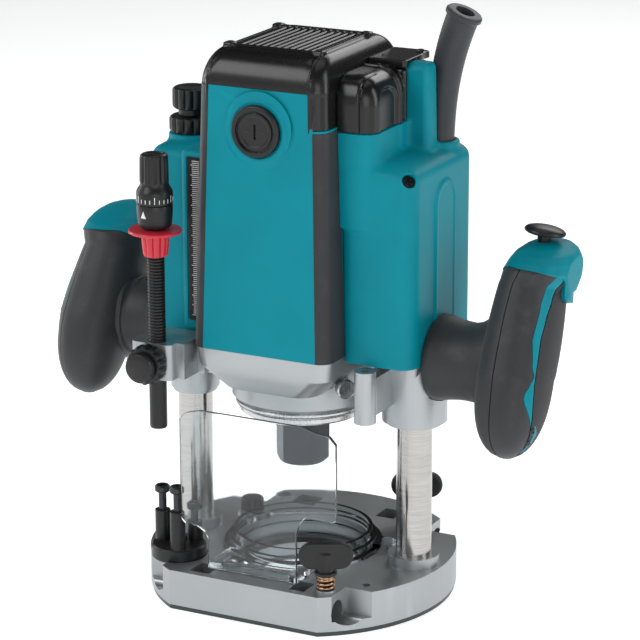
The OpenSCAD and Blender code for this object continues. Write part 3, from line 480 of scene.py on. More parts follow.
BEVEL = {"base_casting": 0.7, "bracket_casting": 0.8, "motor_housing": 0.5, "right_housing": 0.8, "left_housing": 0.8, "chip_shield": 0.4, "top_cover": 0.4,
         "stop_turret": 0.3, "collet_nut": 0.5, "front_guide_screw": 0.7, "rear_guide_screw": 0.7, "dust_guard": 0.35, "sole_plate": 0.4}
for name, o in NODES.items():
    give(o, SLOT_OF[name])
    if "custom_normal" in o.data.attributes:
        o.data.attributes.remove(o.data.attributes["custom_normal"])
    o.data.shade_smooth()
    w = o.modifiers.new("weld", "WELD")
    w.merge_threshold = 1e-5
    b = o.modifiers.new("bevel", "BEVEL")
    b.width = BEVEL.get(name, 0.25) * MM
    b.segments = 2
    b.limit_method = "ANGLE"
    b.angle_limit = 28 * D2R
    b.harden_normals = True

# PIECES

# ------------------------------------------------------------------ grips


def _gy(z):
    return -22 + 11 * max(0, (z - 88) / 43) ** 1.35 if z < 131 else -11 + 30 * ((z - 131) / 64) ** 0.94


def _bulge(q):
    return max(1e-4, 1 - min(1, abs(q)) ** 2.6) ** 0.5


def _se(a, p):
    return math.copysign(abs(a) ** p, a)


CAP_RINGS = [(0, 1, (0, 0, 0), 0.35), (0.8, 1.02, (0.6, 0.8, 0.8), 0.35), (7, 1.06, (1.8, 3.4, 7), 0.24), (12.6, 1.0, (2.4, 7, 12.6), 0.12),
             (16.4, 0.88, (2.4, 9.6, 16.4), 0.04), (18.8, 0.68, (2.4, 11.4, 18.8), 0), (20.2, 0.42, (2.4, 12.4, 20.2), 0), (20.6, 0.12, (2.4, 12.6, 20.6), 0)]


def grip_surface(t, w, zb=92.0, top=171.0, gx=122.0, lean=0.0):
    """Point of the grip at turn t (degrees, 0 outwards, 90 to the rear) and level w."""
    ct, st = math.cos(t * D2R), math.sin(t * D2R)
    gx -= lean * max(0.0, min(1.0, (w - 126) / (top - 126))) ** 1.6
    if w <= top:
        k = 0.98 * _bulge((131 - w) / (131 - zb)) if w < 131 else 1
        a = 17.8 * k * (1 if w < 131 else 1 - 0.16 * ((w - 131) / 40) ** 2)
        b = 21.5 * k * (1 if w < 131 else 1 - 0.06 * ((w - 131) / 40) ** 2)
        y = b * _se(st, 0.86)
        return Vector((gx + a * _se(ct, 0.86), _gy(w) + y, w - (0.15 + 0.2 * min(1, max(0, (w - 135) / 32))) * y))
    q = min(w - top, 20.6)
    i = max(j for j in range(len(CAP_RINGS) - 1) if CAP_RINGS[j][0] <= q)
    a, b = CAP_RINGS[i], CAP_RINGS[i + 1]
    s = (q - a[0]) / (b[0] - a[0])

    def lerp(u, v):
        return u + (v - u) * s
    k, tip = lerp(a[1], b[1]), lerp(a[3], b[3])
    m = [lerp(a[2][n], b[2][n]) for n in range(3)]
    y = 21.5 * (1 - 0.06 * ((top - 131) / 40) ** 2) * k * _se(st, 0.86)
    return Vector((gx + 17.8 * (1 - 0.16 * ((top - 131) / 40) ** 2) * k * _se(ct, 0.86) + m[0], _gy(top) + y + m[1], top + m[2] - tip * y))


def table(pairs):
    """Smooth value between (key, value) pairs."""
    ks = [p[0] for p in pairs]
    vs = [p[1] for p in pairs]

    def f(x):
        if x <= ks[0]:
            return vs[0]
        if x >= ks[-1]:
            return vs[-1]
        i = max(j for j in range(len(ks) - 1) if ks[j] <= x)
        s = (x - ks[i]) / (ks[i + 1] - ks[i])
        s = s * s * (3 - 2 * s) * 0.5 + s * 0.5
        return vs[i] + (vs[i + 1] - vs[i]) * s
    return f


def grip_patch(name, surf, t0, t1, w0, wtop, nu, nv, like, slot, lift=0.0, thick=1.0, mat=None, replaces=(), mirror=False, gap=0.5, bevel=0.35, bulge=None, upow=1.0):
    """One moulded shell of a grip between turns t0(w) and t1(w), from level w0 up to wtop(t)."""
    eps = 0.05

    def place(t, w):
        p = surf(t, w)
        n = (surf(t + 1.5, w) - surf(t - 1.5, w)).cross(surf(t, w + eps * 8) - surf(t, w - eps * 8))
        n = n.normalized() if n.length > 1e-9 else Vector((0, 0, -1))
        return p, n
    outer, inner = [], []
    for j in range(nv + 1):
        v = j / nv
        ro, ri = [], []
        for i in range(nu + 1):
            u = (i / nu) ** upow
            wt = wtop(t0(wtop(0)) * (1 - u) + t1(wtop(0)) * u)
            w = w0 + (wt - w0) * (1 - (1 - v) ** 1.25)
            a, b = t0(w), t1(w)
            r = max(2.0, 18 * (_bulge((131 - w) / 39.5) if w < 131 else 1))
            g = gap / r / D2R / 2
            t = (a + g) + (b - a - 2 * g) * u
            p, n = place(t, w)
            lf = lift + (bulge(t, w) if bulge else 0)
            po, pi = p + n * lf, p + n * (lf - thick)
            if mirror:
                po.x, pi.x = -po.x, -pi.x
            ro.append(tuple(po))
            ri.append(tuple(pi))
        outer.append(ro)
        inner.append(ri)
    cols = nu + 1
    verts = [p for r in outer for p in r] + [p for r in inner for p in r]
    off = cols * (nv + 1)
    faces = []
    for j in range(nv):
        for i in range(nu):
            q = (j * cols + i, j * cols + i + 1, (j + 1) * cols + i + 1, (j + 1) * cols + i)
            faces.append(q)
            faces.append(tuple(off + k for k in q[::-1]))
    rim = [i for i in range(cols)] + [(j + 1) * cols + nu for j in range(nv)] + [nv * cols + nu - 1 - i for i in range(nu)] + [(nv - 1 - j) * cols for j in range(nv - 1)]
    for i in range(len(rim)):
        a, b = rim[i], rim[(i + 1) % len(rim)]
        faces.append((a, off + a, off + b, b))
    return piece(name, verts, faces, like, slot, mat, replaces, smooth=50, bevel=bevel)


def closed_form(name, rows, like, slot, mat=None, replaces=(), mirror=False, smooth=40, bevel=None):
    rows = [[(-p[0] if mirror else p[0], p[1], p[2]) for p in r] for r in rows]
    v, f = loft(rows)
    return piece(name, v, f, like, slot, mat, replaces, smooth=smooth, bevel=bevel)


def grip(side, zb, top, gx, wz):
    mir = side == "left"
    pre = side + "_grip"
    surf = lambda t, w: grip_surface(t, w, zb, top, gx, 5.0 if mir else 0.0)
    dz = top - 171.0
    seam = table([(99, -62), (118, -60), (140, -62), (156, -62), (175, -60)]) if mir else table([(99, -99), (118, -97), (140, -99), (156, -99), (175, -95)])
    sl = table([(100, -18), (106, -20), (110.5, -24), (124, -48), (126.4, -47.5), (129.5, -41), (134, -36), (138, -43), (149, -50), (163, -43.5), (172, -36), (178, -26)])
    sr = table([(100, -17), (106, -19), (110.5, -23), (124, -30), (137, -34.5), (149, -35.5), (158, -30), (166, -22), (172, -14), (176, -7), (178, -5)])
    back = lambda w: 104.0
    cap_low = table([(-180, 175), (-150, 178), (-118, 180.6), (-81, 179.6), (-33, 177.2), (-14, 176.4), (-7, 175), (-3, 172), (0, 168), (4, 166.5), (60, 165.5), (92, 166), (100, 169), (108, 172), (150, 173), (180, 175)])
    wc = lambda t: cap_low((t + 180) % 360 - 180) + dz
    sh = lambda fn: (lambda w: fn(w - dz if w > 131 else w))
    # core that fills the seams between the shells
    core = []
    for j in range(46):
        w = zb + 0.25 + (top + 2 - zb) * (j / 45) ** 0.9
        c = Vector((gx, _gy(w), w))
        core.append([tuple(surf(360 * i / 56, w) * 1.0 + (c - surf(360 * i / 56, w)).normalized() * min(0.9, (c - surf(360 * i / 56, w)).length * 0.5)) for i in range(56)])
    closed_form(pre + "_core", core, pre + "_inner", "grip_rubber", mirror=mir)
    # stem with its wide foot, sweeping up into the grip
    k = 0 if side == "right" else 8
    stem = [(74.3, 16.9, 16.9, 16.9, 0), (75.4, 17.2, 17.2, 17.2, 0), (75.5, 21.2, 21.2, 21.2, 1), (76.2, 21.5, 21.5, 21.5, 1), (80, 21.3, 21.3, 21.3, 1), (84, 20.4, 20.5, 20.5, 1), (89, 19.7, 19.7, 19.7, 0.6),
            (94, 19.5, 19.3, 19.3, 0), (99 - k / 2, 21.0, 19.6, 19.5, -0.3), (103.5 - k, 24.0, 21.2, 20.0, -0.8), (107.5 - k, 28.2, 23.4, 20.2, -1.4), (111.5 - k, 31.6, 25.2, 19.2, -1.5), (116 - k, 33.0, 26, 15, -1.5)]
    rows = []
    for i in range(len(stem) - 1):
        for s in range(3 if i > 3 else 1):
            q = s / (3 if i > 3 else 1)
            rows.append([stem[i][n] + (stem[i + 1][n] - stem[i][n]) * q for n in range(5)])
    rows.append(list(stem[-1]))
    rings = []
    for x, up_, dn, ry, yc in rows:
        ring = []
        for i in range(72):
            a = 2 * math.pi * i / 72
            h = up_ if math.sin(a) > 0 else dn
            ring.append((x, yc + ry * math.cos(a) + max(0, up_ - 21.5) * 0.35 * max(0, math.sin(a)), 131 + h * math.sin(a)))
        rings.append(ring)
    closed_form(pre + "_stem", rings, pre + "_inner", "grip_rubber", mirror=mir, smooth=60)
    inner_top = lambda t: wc(t) - 0.5
    full = lambda w: w
    reps = (pre + "_inner",)
    grip_patch(pre + "_shell_inner", surf, back, lambda w: sh(seam)(w) + 360, zb + 0.4, lambda t: wc(t) - 0.35, 60, 44, pre + "_inner", "grip_rubber", mirror=mir, replaces=reps, thick=1.2)
    grip_patch(pre + "_shell_front", surf, sh(seam), sh(sl), zb + 0.4, lambda t: wc(t) - 0.35, 30, 44, pre + "_outer", "grip_rubber", mirror=mir, replaces=(pre + "_outer",), thick=1.2)
    grip_patch(pre + "_stripe", surf, sh(sl), sh(sr), 106.5, lambda t: wc(t) + 0.6, 8, 60, pre + "_outer", "teal_plastic", mirror=mir, thick=1.2, gap=0.25, lift=-0.12, bevel=0.2)
    grip_patch(pre + "_pad", surf, sh(sr), back, zb + 0.4, lambda t: wc(t) - 0.35, 40, 44, pre + "_outer", "grip_rubber", mat="dots_rubber", mirror=mir, thick=1.2, lift=0.1, upow=1.7)
    crescent = grip_patch(pre + "_end_patch", surf, table([(96, -24), (101, -11), (106, -9), (110.5, -15)]), table([(96, -22), (101, -2), (106, 0), (110.5, -11)]), 97 + (0 if not mir else -2.4), lambda t: 110.5, 6, 14, pre + "_outer", "teal_plastic", mirror=mir, thick=0.9, gap=0.1, lift=0.32, bevel=0.15)
    # cap: one closed shell with its crown, standing a little proud at the rear
    def proud(t):
        a = (t + 180) % 360 - 180
        return 0.35 + 3.0 * (1 / (1 + math.exp(-(a + 2) / 4.0))) * (1 / (1 + math.exp((a - 104) / 6.0)))
    rows_o, rows_i = [], []
    n = 140
    for j in range(27):
        v = j / 26
        ro, ri = [], []
        for i in range(n):
            t = 360 * i / n
            w0 = wc(t)
            w = w0 + (top + 20.55 - w0) * v
            p = surf(t, w)
            c = Vector((gx + 2, _gy(min(w, top)) + 6 * v + 4, p.z))
            d = p - c
            d.z = 0
            fade = 1 - max(0, (v - 0.5) / 0.5) ** 2
            po = p + d.normalized() * proud(t) * fade * (1 if d.length > 2 else d.length / 2)
            po.x = min(po.x, 140.25)
            ri.append(tuple(p - d.normalized() * min(1.3, d.length * 0.4) - Vector((0, 0, 0.9 * v))))
            ro.append(tuple(po))
        rows_o.append(ro)
        rows_i.append(ri)
    closed_form(pre + "_cap_shell", rows_i[::-1] + rows_o, pre + "_cap", "teal_plastic", mirror=mir, replaces=(pre + "_cap",), smooth=48)
    return surf


right_surf = grip("right", 92.0, 171.0, 122.0, 150)
left_surf = grip("left", 91.2, 163.6, 114.0, 141)


def set_screw(name, p, n, r, like, slot="dark_steel", head=1.1, mirror=False, sink=0.6):
    """A recessed round screw head with a cross socket, facing along n."""
    n = Vector(n).normalized()
    a = n.orthogonal().normalized()
    b = n.cross(a)
    prof = [(r * 0.2, -1.5), (r * 0.98, -1.5), (r, head * 0.35), (r * 0.86, head * 0.8), (r * 0.6, head), (r * 0.38, head), (r * 0.30, head * 0.2)]
    rings = [[tuple(Vector(p) + (a * math.cos(2 * math.pi * i / 32) + b * math.sin(2 * math.pi * i / 32)) * q * (1 + (0.22 * math.cos(8 * math.pi * i / 32) if q < r * 0.5 else 0)) + n * (h - sink)) for i in range(32)] for q, h in prof]
    if mirror:
        rings = [[(-x, y, z) for x, y, z in rg] for rg in rings]
    v, f = loft(rings)
    return piece(name, v, f, like, slot, smooth=40)


for nm, t, w in (("a", -15, 107.6), ("b", -12.5, 101.6)):
    p = right_surf(t, w)
    q = (right_surf(t + 2, w) - right_surf(t - 2, w)).cross(right_surf(t, w + 0.5) - right_surf(t, w - 0.5)).normalized()
    set_screw("right_grip_screw_" + nm, p, q, 2.0, "right_grip_outer", sink=0.4)

# ------------------------------------------------------------------ moulded forms, from smooth distance fields


def d_box(P, x0, x1, y0, y1, z0, z1, r):
    c = np.array([(x0 + x1) / 2, (y0 + y1) / 2, (z0 + z1) / 2])
    h = np.array([(x1 - x0) / 2 - r, (y1 - y0) / 2 - r, (z1 - z0) / 2 - r])
    q = np.abs(P - c) - h
    return np.linalg.norm(np.maximum(q, 0), axis=-1) + np.minimum(q.max(axis=-1), 0) - r


def d_slab(P, x0, x1, y0, y1, z0, z1, r, rz):
    """Box with its upright edges rounded by r and its top and bottom edges by rz."""
    q = np.abs(P[..., :2] - np.array([(x0 + x1) / 2, (y0 + y1) / 2])) - np.array([(x1 - x0) / 2 - r, (y1 - y0) / 2 - r])
    a = np.linalg.norm(np.maximum(q, 0), axis=-1) + np.minimum(q.max(axis=-1), 0) - r
    b = np.abs(P[..., 2] - (z0 + z1) / 2) - (z1 - z0) / 2
    u, v = a + rz, b + rz
    return np.hypot(np.maximum(u, 0), np.maximum(v, 0)) + np.minimum(np.maximum(u, v), 0) - rz


def d_cyl(P, c, axis, r, h0, h1, rr=0.0):
    """Round bar along axis 0, 1 or 2 between h0 and h1."""
    o = [i for i in range(3) if i != axis]
    a = np.hypot(P[..., o[0]] - c[0], P[..., o[1]] - c[1]) - r
    b = np.abs(P[..., axis] - (h0 + h1) / 2) - (h1 - h0) / 2
    u, v = a + rr, b + rr
    return np.hypot(np.maximum(u, 0), np.maximum(v, 0)) + np.minimum(np.maximum(u, v), 0) - rr


def d_line(P, a, b, r):
    a, b = np.array(a, float), np.array(b, float)
    t = np.clip(((P - a) @ (b - a)) / ((b - a) @ (b - a)), 0, 1)
    return np.linalg.norm(P - a - t[..., None] * (b - a), axis=-1) - r


def s_min(a, b, k):
    h = np.maximum(k - np.abs(a - b), 0) / k
    return np.minimum(a, b) - h * h * k * 0.25


def s_max(a, b, k):
    return -s_min(-a, -b, k)


def moulded(name, f, lo, hi, h, like, replaces=(), slot=None, mat=None, smooth=38):
    """Closed surface where f is zero, pulled exactly onto the field."""
    lo, hi = np.array(lo, float), np.array(hi, float)
    n = np.ceil((hi - lo) / h).astype(int) + 1
    ax = [lo[i] + h * np.arange(n[i]) for i in range(3)]
    V = np.empty(n)
    step = max(1, int(400000 / (n[1] * n[2])))
    for i in range(0, n[0], step):
        G = np.stack(np.meshgrid(ax[0][i:i + step], ax[1], ax[2], indexing="ij"), -1)
        V[i:i + step] = f(G)
    V = np.where(np.abs(V) < 1e-6, 1e-6, V)
    S = V < 0
    cnt = sum(S[i:n[0] - 1 + i, j:n[1] - 1 + j, k:n[2] - 1 + k].astype(np.int8) for i in (0, 1) for j in (0, 1) for k in (0, 1))
    act = (cnt > 0) & (cnt < 8)
    idx = -np.ones(act.shape, int)
    idx[act] = np.arange(act.sum())
    I, J, K = np.nonzero(act)
    acc, num = np.zeros((len(I), 3)), np.zeros(len(I))
    cs = [(i, j, k) for i in (0, 1) for j in (0, 1) for k in (0, 1)]
    for a in cs:
        for b in cs:
            if sum(b) - sum(a) == 1 and all(q >= p for p, q in zip(a, b)):
                va, vb = V[I + a[0], J + a[1], K + a[2]], V[I + b[0], J + b[1], K + b[2]]
                m = (va < 0) != (vb < 0)
                t = (va / np.where(m, va - vb, 1))[:, None]
                p = np.array(a) + t * (np.array(b) - np.array(a))
                acc[m] += p[m]
                num[m] += 1
    P = lo + h * (np.stack([I, J, K], 1) + acc / num[:, None])
    for _ in range(2):
        v = f(P)
        e = 0.02
        g = np.stack([(f(P + d) - f(P - d)) / (2 * e) for d in np.eye(3) * e], -1)
        P = P - np.clip(v / np.maximum((g * g).sum(-1), 0.3), -h * 0.45, h * 0.45)[:, None] * g
    faces = []
    for axis in range(3):
        A = np.moveaxis(S, axis, 0)[:-1, 1:-1, 1:-1]
        B = np.moveaxis(S, axis, 0)[1:, 1:-1, 1:-1]
        ids = np.moveaxis(idx, axis, 0)
        i, j, k = np.nonzero(A != B)
        q = np.stack([ids[i, j, k], ids[i, j + 1, k], ids[i, j + 1, k + 1], ids[i, j, k + 1]], 1)
        flip = A[i, j, k] ^ (axis == 1)
        q[~flip] = q[~flip][:, ::-1]
        faces.append(q)
    F = np.concatenate(faces)
    F = F[(F >= 0).all(1)]
    return piece(name, P, F.tolist(), like, slot, mat, replaces, smooth=smooth, recalc=False)


def tower_d(P, g=0.0):
    """Distance to the tapered motor housing, grown by g."""
    z = P[..., 2]
    k = (z - 134) / 133
    w, fr, bk = 38 - 3.6 * k + g, -47.4 + 3.4 * k - g, 45 - 2 * k + g
    qx = np.abs(P[..., 0]) - (w - 7 - g)
    qy = np.abs(P[..., 1] - (fr + bk) / 2) - ((bk - fr) / 2 - 7 - g)
    return np.hypot(np.maximum(qx, 0), np.maximum(qy, 0)) + np.minimum(np.maximum(qx, qy), 0) - 7 - g


BX, BY = 62.8, 27.4


def right_body(P):
    b = d_box(P, 34, 75, -30, 42, 60, 235.4, 8.5)
    b = s_max(b, (P[..., 2] - 238.5) * 0.93 + (P[..., 0] - 46) * 0.30, 5)
    b = s_max(b, (P[..., 2] - 233.6) * 0.9 - (P[..., 1] + 22) * 0.42, 5)
    base = d_slab(P, 12, 54.6, -31, 7.5, 200, 247.1, 9, 0.6)
    b = s_min(b, base, 3.5)
    b = s_min(b, d_slab(P, 30, 54.4, -2, 32, 200, 247.1, 3, 0.6), 3.0)
    pil = d_box(P, 50.4, 66, 7.6, 20.2, 200, 275.6, 4.2)
    pil = s_max(pil, (P[..., 0] - 66) + (P[..., 2] - 236) * 0.045, 2)
    b = s_min(b, pil, 3.2)
    # collar that the cord boot stands in
    b = s_min(b, d_cyl(P, (BX, BY), 2, 9.6, 200, 234.6, 1.2), 2.5)
    # raised, arched panel with its two ribs on the outer face
    zc = np.minimum(P[..., 2] - 208.5, 0) * 0 + np.maximum(P[..., 2] - 208.5, 0)
    ra = np.hypot(P[..., 1] - 6.8, zc) - 11.2
    panel = np.maximum(np.maximum(ra, P[..., 0] - 75.5), 60 - P[..., 0])
    b = s_min(b, panel, 1.6)
    rib = np.maximum(np.abs(ra + 1.0) - 0.5, P[..., 0] - 75.95)
    b = s_min(b, np.maximum(rib, 60 - P[..., 0]), 1.0)
    return b


def right_field(P):
    o = right_body(P)
    f = np.maximum(o, -(o + 2.6))
    f = np.maximum(f, 131.0 - P[..., 2])
    f = s_max(f, -tower_d(P, 0.35), 0.5)
    d = P - np.array([71.2, -26.2, 226])
    ax = np.array([0.4851, -0.6209, 0.6157])
    t = d @ ax
    f = s_max(f, -np.maximum(np.linalg.norm(d - t[..., None] * ax, axis=-1) - 3.4, np.abs(t) - 7), 0.8)
    f = s_max(f, -d_cyl(P, (BX, BY), 2, 7.1, 200, 260), 0.6)
    f = s_max(f, -d_cyl(P, (0, 131), 0, 17.2, 60, 100), 0.6)
    f = s_max(f, -d_line(P, (70, 44.0, 196.5), (80, 42.0, 196.5), 2.4), 1.0)
    return np.maximum(f, P[..., 2] - np.where((P[..., 0] < 50.0) | (P[..., 1] < 7.0), 247.1, 300))


moulded("right_housing_shell", right_field, (30, -34, 129), (78.2, 45, 278), 0.85, "right_housing", ("right_housing",))


def left_field(P):
    b = d_box(P, -75, -34, -24, 34, 60, 230.4, 8)
    b = s_max(b, (P[..., 2] - 231.6) * 0.93 - (P[..., 0] + 62) * 0.26, 6)
    b = s_max(b, (P[..., 2] - 229.8) * 0.93 - (P[..., 1] + 16) * 0.30, 5)
    b = s_min(b, d_slab(P, -52.4, -34.4, -31, -16, 136, 229.3, 3.2, 3), 2.4)
    # seat under the limit nuts
    b = s_min(b, d_cyl(P, (-62.7, 0), 2, 11.6, 200, 230.9, 1.0), 2.5)
    f = np.maximum(b, -(b + 2.6))
    f = np.maximum(f, 131.0 - P[..., 2])
    f = s_max(f, -tower_d(P, 0.35), 0.5)
    f = s_max(f, -d_slab(P, -48.5, -40.1, -40, -29.3, 142, 226, 0.8, 0.8), 0.5)
    f = s_max(f, -d_cyl(P, (-62.7, 0), 2, 4.7, 200, 260), 0.4)
    f = s_max(f, -d_cyl(P, (0, 131), 0, 17.2, -100, -60), 0.6)
    return f


moulded("left_housing_shell", left_field, (-77.5, -33.5, 129), (-31, 37, 234), 0.85, "left_housing", ("left_housing",))


# ---- top cover with its grille, skirt and screw lugs
def cover_body(P, g=0.0):
    z = P[..., 2]
    q = np.clip((z - 266.5) / 18.2, 0, 1)
    fr = 1 - np.sqrt(np.maximum(1e-4, 1 - q ** 2.1))
    x0 = -34.6 + 9.5 * fr
    x1 = 34.6 - 8.6 * fr
    y0 = -44.2 + 15.5 * fr
    y1 = 43.2 - 15 * fr
    r = 7 + 3 * q
    qx = np.abs(P[..., 0] - (x0 + x1) / 2) - ((x1 - x0) / 2 - r)
    qy = np.abs(P[..., 1] - (y0 + y1) / 2) - ((y1 - y0) / 2 - r)
    a = np.hypot(np.maximum(qx, 0), np.maximum(qy, 0)) + np.minimum(np.maximum(qx, qy), 0) - r
    slope = 0.62 + 0.38 * (1 - q)
    return s_max(a * slope, z - 284.0, 3.2) + g


def skirt_d(P):
    t = tower_d(P)
    f = np.maximum(np.maximum(t, -(t + 1.15)), np.abs(P[..., 2] - 259.2) - 9.6)
    k = (P[..., 2] - 134) / 133
    lim = 30.2 - 3.2 * k
    return np.maximum(np.maximum(f, lim - P[..., 0]), P[..., 1] + 29.2)


def cover_field(P):
    o = cover_body(P)
    f = np.maximum(o, -(o + 2.4))
    f = np.maximum(f, 267.0 - P[..., 2])
    # beads that run up the front and over to the lugs
    for x, w in ((-29.2, 0.55), (26.6, 0.6)):
        f = s_min(f, np.maximum(np.maximum(o - 0.42, -o - 1.5), np.maximum(np.abs(P[..., 0] - x - np.maximum(0, P[..., 2] - 277) * (0.35 if x < 0 else -0.12)) - w, P[..., 1] + 27)), 0.5)
    # opening of the grille with its frame
    f = s_max(f, -d_slab(P, -22.4, 23.2, -27.4, 23.2, 276, 290, 1.2, 0.4), 0.4)
    f = s_min(f, s_max(d_slab(P, -24.6, 25.4, -29.4, 25.2, 279, 284.9, 2.4, 0.6), -d_slab(P, -22.4, 23.2, -27.4, 23.2, 276, 290, 1.2, 0.4), 0.4), 0.8)
    for i in range(12):
        x = -20.6 + i * 3.82
        f = s_min(f, d_line(P, (x, -28, 283.0), (x, 24, 283.0), 1.15), 0.5)
    f = s_min(f, d_box(P, -22.6, 23.4, -2.6, -0.8, 280.4, 282.4, 0.4), 0.4)
    for x in (-24.4, 24.8):
        for y in (-28.7, 22.0):
            f = s_min(f, d_box(P, x - 2.7, x + 2.7, y - 2.6, y + 2.6, 280, 285.7, 0.9), 1.2)
            f = s_max(f, -d_cyl(P, (x, y), 2, 1.5, 284.9, 290), 0.3)
    s = skirt_d(P)
    s = s_min(s, np.maximum(np.maximum(np.abs(P[..., 0] - 29.3) - 0.45, np.abs(tower_d(P)) - 0.5), np.maximum(np.abs(P[..., 2] - 259.4) - 9.2, P[..., 1] + 38)), 0.4)
    return s_min(f, s, 0.6)


moulded("top_cover_shell", cover_field, (-37, -47.5, 248), (37.5, 45.5, 287), 0.75, "top_cover", ("top_cover",), mat="gloss_black")


# ---- vent cowl with its bands, arched panel, rim bead and plate
def cowl_body(P):
    z = P[..., 2]
    q = np.clip((z - 259.5) / 14.6, 0, 1)
    g = -10.5 * (1 - np.sqrt(np.maximum(1e-4, 1 - q ** 2.2)))
    r = np.maximum(2.5, 9 + g * 0.5)
    x0, x1, y0, y1 = 14 - g * 0, 54.6 + g, -31 - g, 9
    qx = np.abs(P[..., 0] - (x0 + x1) / 2) - ((x1 - x0) / 2 - r)
    qy = np.abs(P[..., 1] - (y0 + y1) / 2) - ((y1 - y0) / 2 - r)
    a = np.hypot(np.maximum(qx, 0), np.maximum(qy, 0)) + np.minimum(np.maximum(qx, qy), 0) - r
    return s_max(a * (0.68 + 0.32 * (1 - q)), z - 274.0, 3.0)


def cowl_field(P):
    o = cowl_body(P)
    # two upright grooves that divide the front into bands
    o = o + 0.75 * np.exp(-((P[..., 0] - 46.4) / 0.5) ** 2) * (P[..., 1] < -12)
    o = o + 0.55 * np.exp(-((P[..., 1] + 3.2) / 0.45) ** 2) * (P[..., 0] > 40)
    # arched panel, let in on the outer side
    py, pz = P[..., 1] + 13.6, P[..., 2] - 252
    arch = np.hypot(np.maximum(np.abs(py) - 2.0, 0), np.maximum(pz - 8.0, 0)) - 7.0
    o = o + 1.25 * (1 / (1 + np.exp(np.clip(arch / 0.28, -30, 30)))) * (P[..., 0] > 47)
    rear = d_slab(P, 30, 54.0, 4, 32, 240, 272.6, 2.4, 1.5)
    for k in range(4):
        rear = rear + 0.6 * np.exp(-((P[..., 1] - 1.4 - 1.5 * k) / 0.36) ** 2) * (P[..., 0] > 50)
    o = s_min(o, rear, 0.8)
    f = np.maximum(o, -(o + 2.2))
    f = np.maximum(f, 247.4 - P[..., 2])
    # rim bead round the back of the cowl
    za = P[..., 2]
    prof = s_max(np.abs(P[..., 1] + 0.6) - 0.75, np.abs(cowl_body(P)) - 0.95, 0.5)
    f = s_min(f, np.maximum(prof, 247.4 - za), 0.5)
    # plate beside the top cover, with its raised lip
    pl = d_slab(P, 30, 54.6, 4.6, 33.4, 273.6, 277.1, 2.6, 0.5)
    f = s_min(f, pl, 0.6)
    f = s_max(f, -d_cyl(P, (38.5, 11.5), 2, 0.9, 276.5, 280), 0.2)
    f = s_min(f, d_cyl(P, (51.0, 28.6), 2, 1.9, 274, 278.2, 0.4), 0.6)
    f = s_max(f, -(tower_d(P, 0.12)), 0.3)
    f = s_max(f, -(cover_body(P) - 0.15), 0.3)
    f = s_max(f, -(s_max(skirt_d(P) - 0.35, -99.0, 1)), 0.2)
    f = np.maximum(f, -(d_box(P, 50.2, 66.2, 7.4, 20.4, 200, 275.8, 4.2) - 0.1))
    return s_max(f, -d_cyl(P, (BX, BY), 2, 8.9, 240, 300), 0.4)


moulded("vent_cowl_shell", cowl_field, (26, -34.5, 246), (58, 36, 280), 0.6, "vent_cowl", ("vent_cowl",), mat="gloss_black")

# ------------------------------------------------------------------ turned and fluted parts


def turned_form(name, prof, c, like, slot=None, mat=None, replaces=(), axis="z", n=144, lobes=0, sharp=1.4, smooth=34, normal=None, shear=0.0, phase=0.0):
    """prof: (radius, height) or (radius, height, flute depth) from one end of the axis to the other."""
    base = Vector({"z": (0, 0, 1), "-y": (0, -1, 0), "x": (1, 0, 0)}[axis]) if normal is None else Vector(normal).normalized()
    u = (Vector((1, 0, 0)) if abs(base.x) < 0.9 else Vector((0, 1, 0)))
    v = base.cross(u).normalized()
    u = v.cross(base).normalized()
    rings = []
    for e in prof:
        r, h, d = (*e, 0)[:3]
        ring = []
        for i in range(n):
            a = 2 * math.pi * i / n
            q = r - d * (1 - abs(math.sin(lobes * a / 2 + phase)) ** sharp) if d else r
            p = Vector(c) + (u * math.cos(a) + v * math.sin(a)) * max(q, 0.002) + base * h
            if shear:
                p.y += shear * (p.z - c[2])
            ring.append(tuple(p))
        rings.append(ring)
    vv, ff = loft(rings)
    return piece(name, vv, ff, like, slot, mat, replaces, smooth=smooth)


PX, PY = -53.8, -53.5
# fine adjusting dial: graduated skirt, waist and fluted knob
dial_prof = [(4.6, 207), (8.6, 206.95), (9.0, 207.3), (9.1, 208), (9.1, 212.6), (8.9, 213.4), (8.3, 214.6), (7.7, 215.4), (7.2, 216.4), (7.05, 217.2)]
dial_prof += [(7.2, 217.8, 0.1), (7.3, 218.6, 0.75), (7.2, 224, 0.8), (7.1, 229.2, 0.8), (7.0, 230.4, 0.6), (6.6, 231.3, 0.2), (5.8, 231.9), (4.6, 232.1), (4.2, 231.6), (0, 231.5)]
turned_form("dial_knob", dial_prof, (PX, PY, 0), "pole_dial", replaces=("pole_dial",), lobes=13, sharp=1.2)
ticks = []
for i in range(24):
    a = i * 15 * D2R
    hh = 3.4 if i % 4 == 0 else 2.0
    c_, s_ = math.cos(a), math.sin(a)
    for r0, r1 in ((8.95, 9.18),):
        w = 0.17
        pts = []
        for r in (r0, r1):
            for k, z in ((-w, 208.3), (w, 208.3), (w, 208.3 + hh), (-w, 208.3 + hh)):
                pts.append((PX + r * c_ - k * s_, PY + r * s_ + k * c_, z))
        ticks.append((pts, [(3, 2, 1, 0), (4, 5, 6, 7), (0, 1, 5, 4), (1, 2, 6, 5), (2, 3, 7, 6), (3, 0, 4, 7)]))
v_, f_ = join(ticks)
piece("dial_graduations", v_, f_, "pole_dial", "black_plastic", mat="white_print")
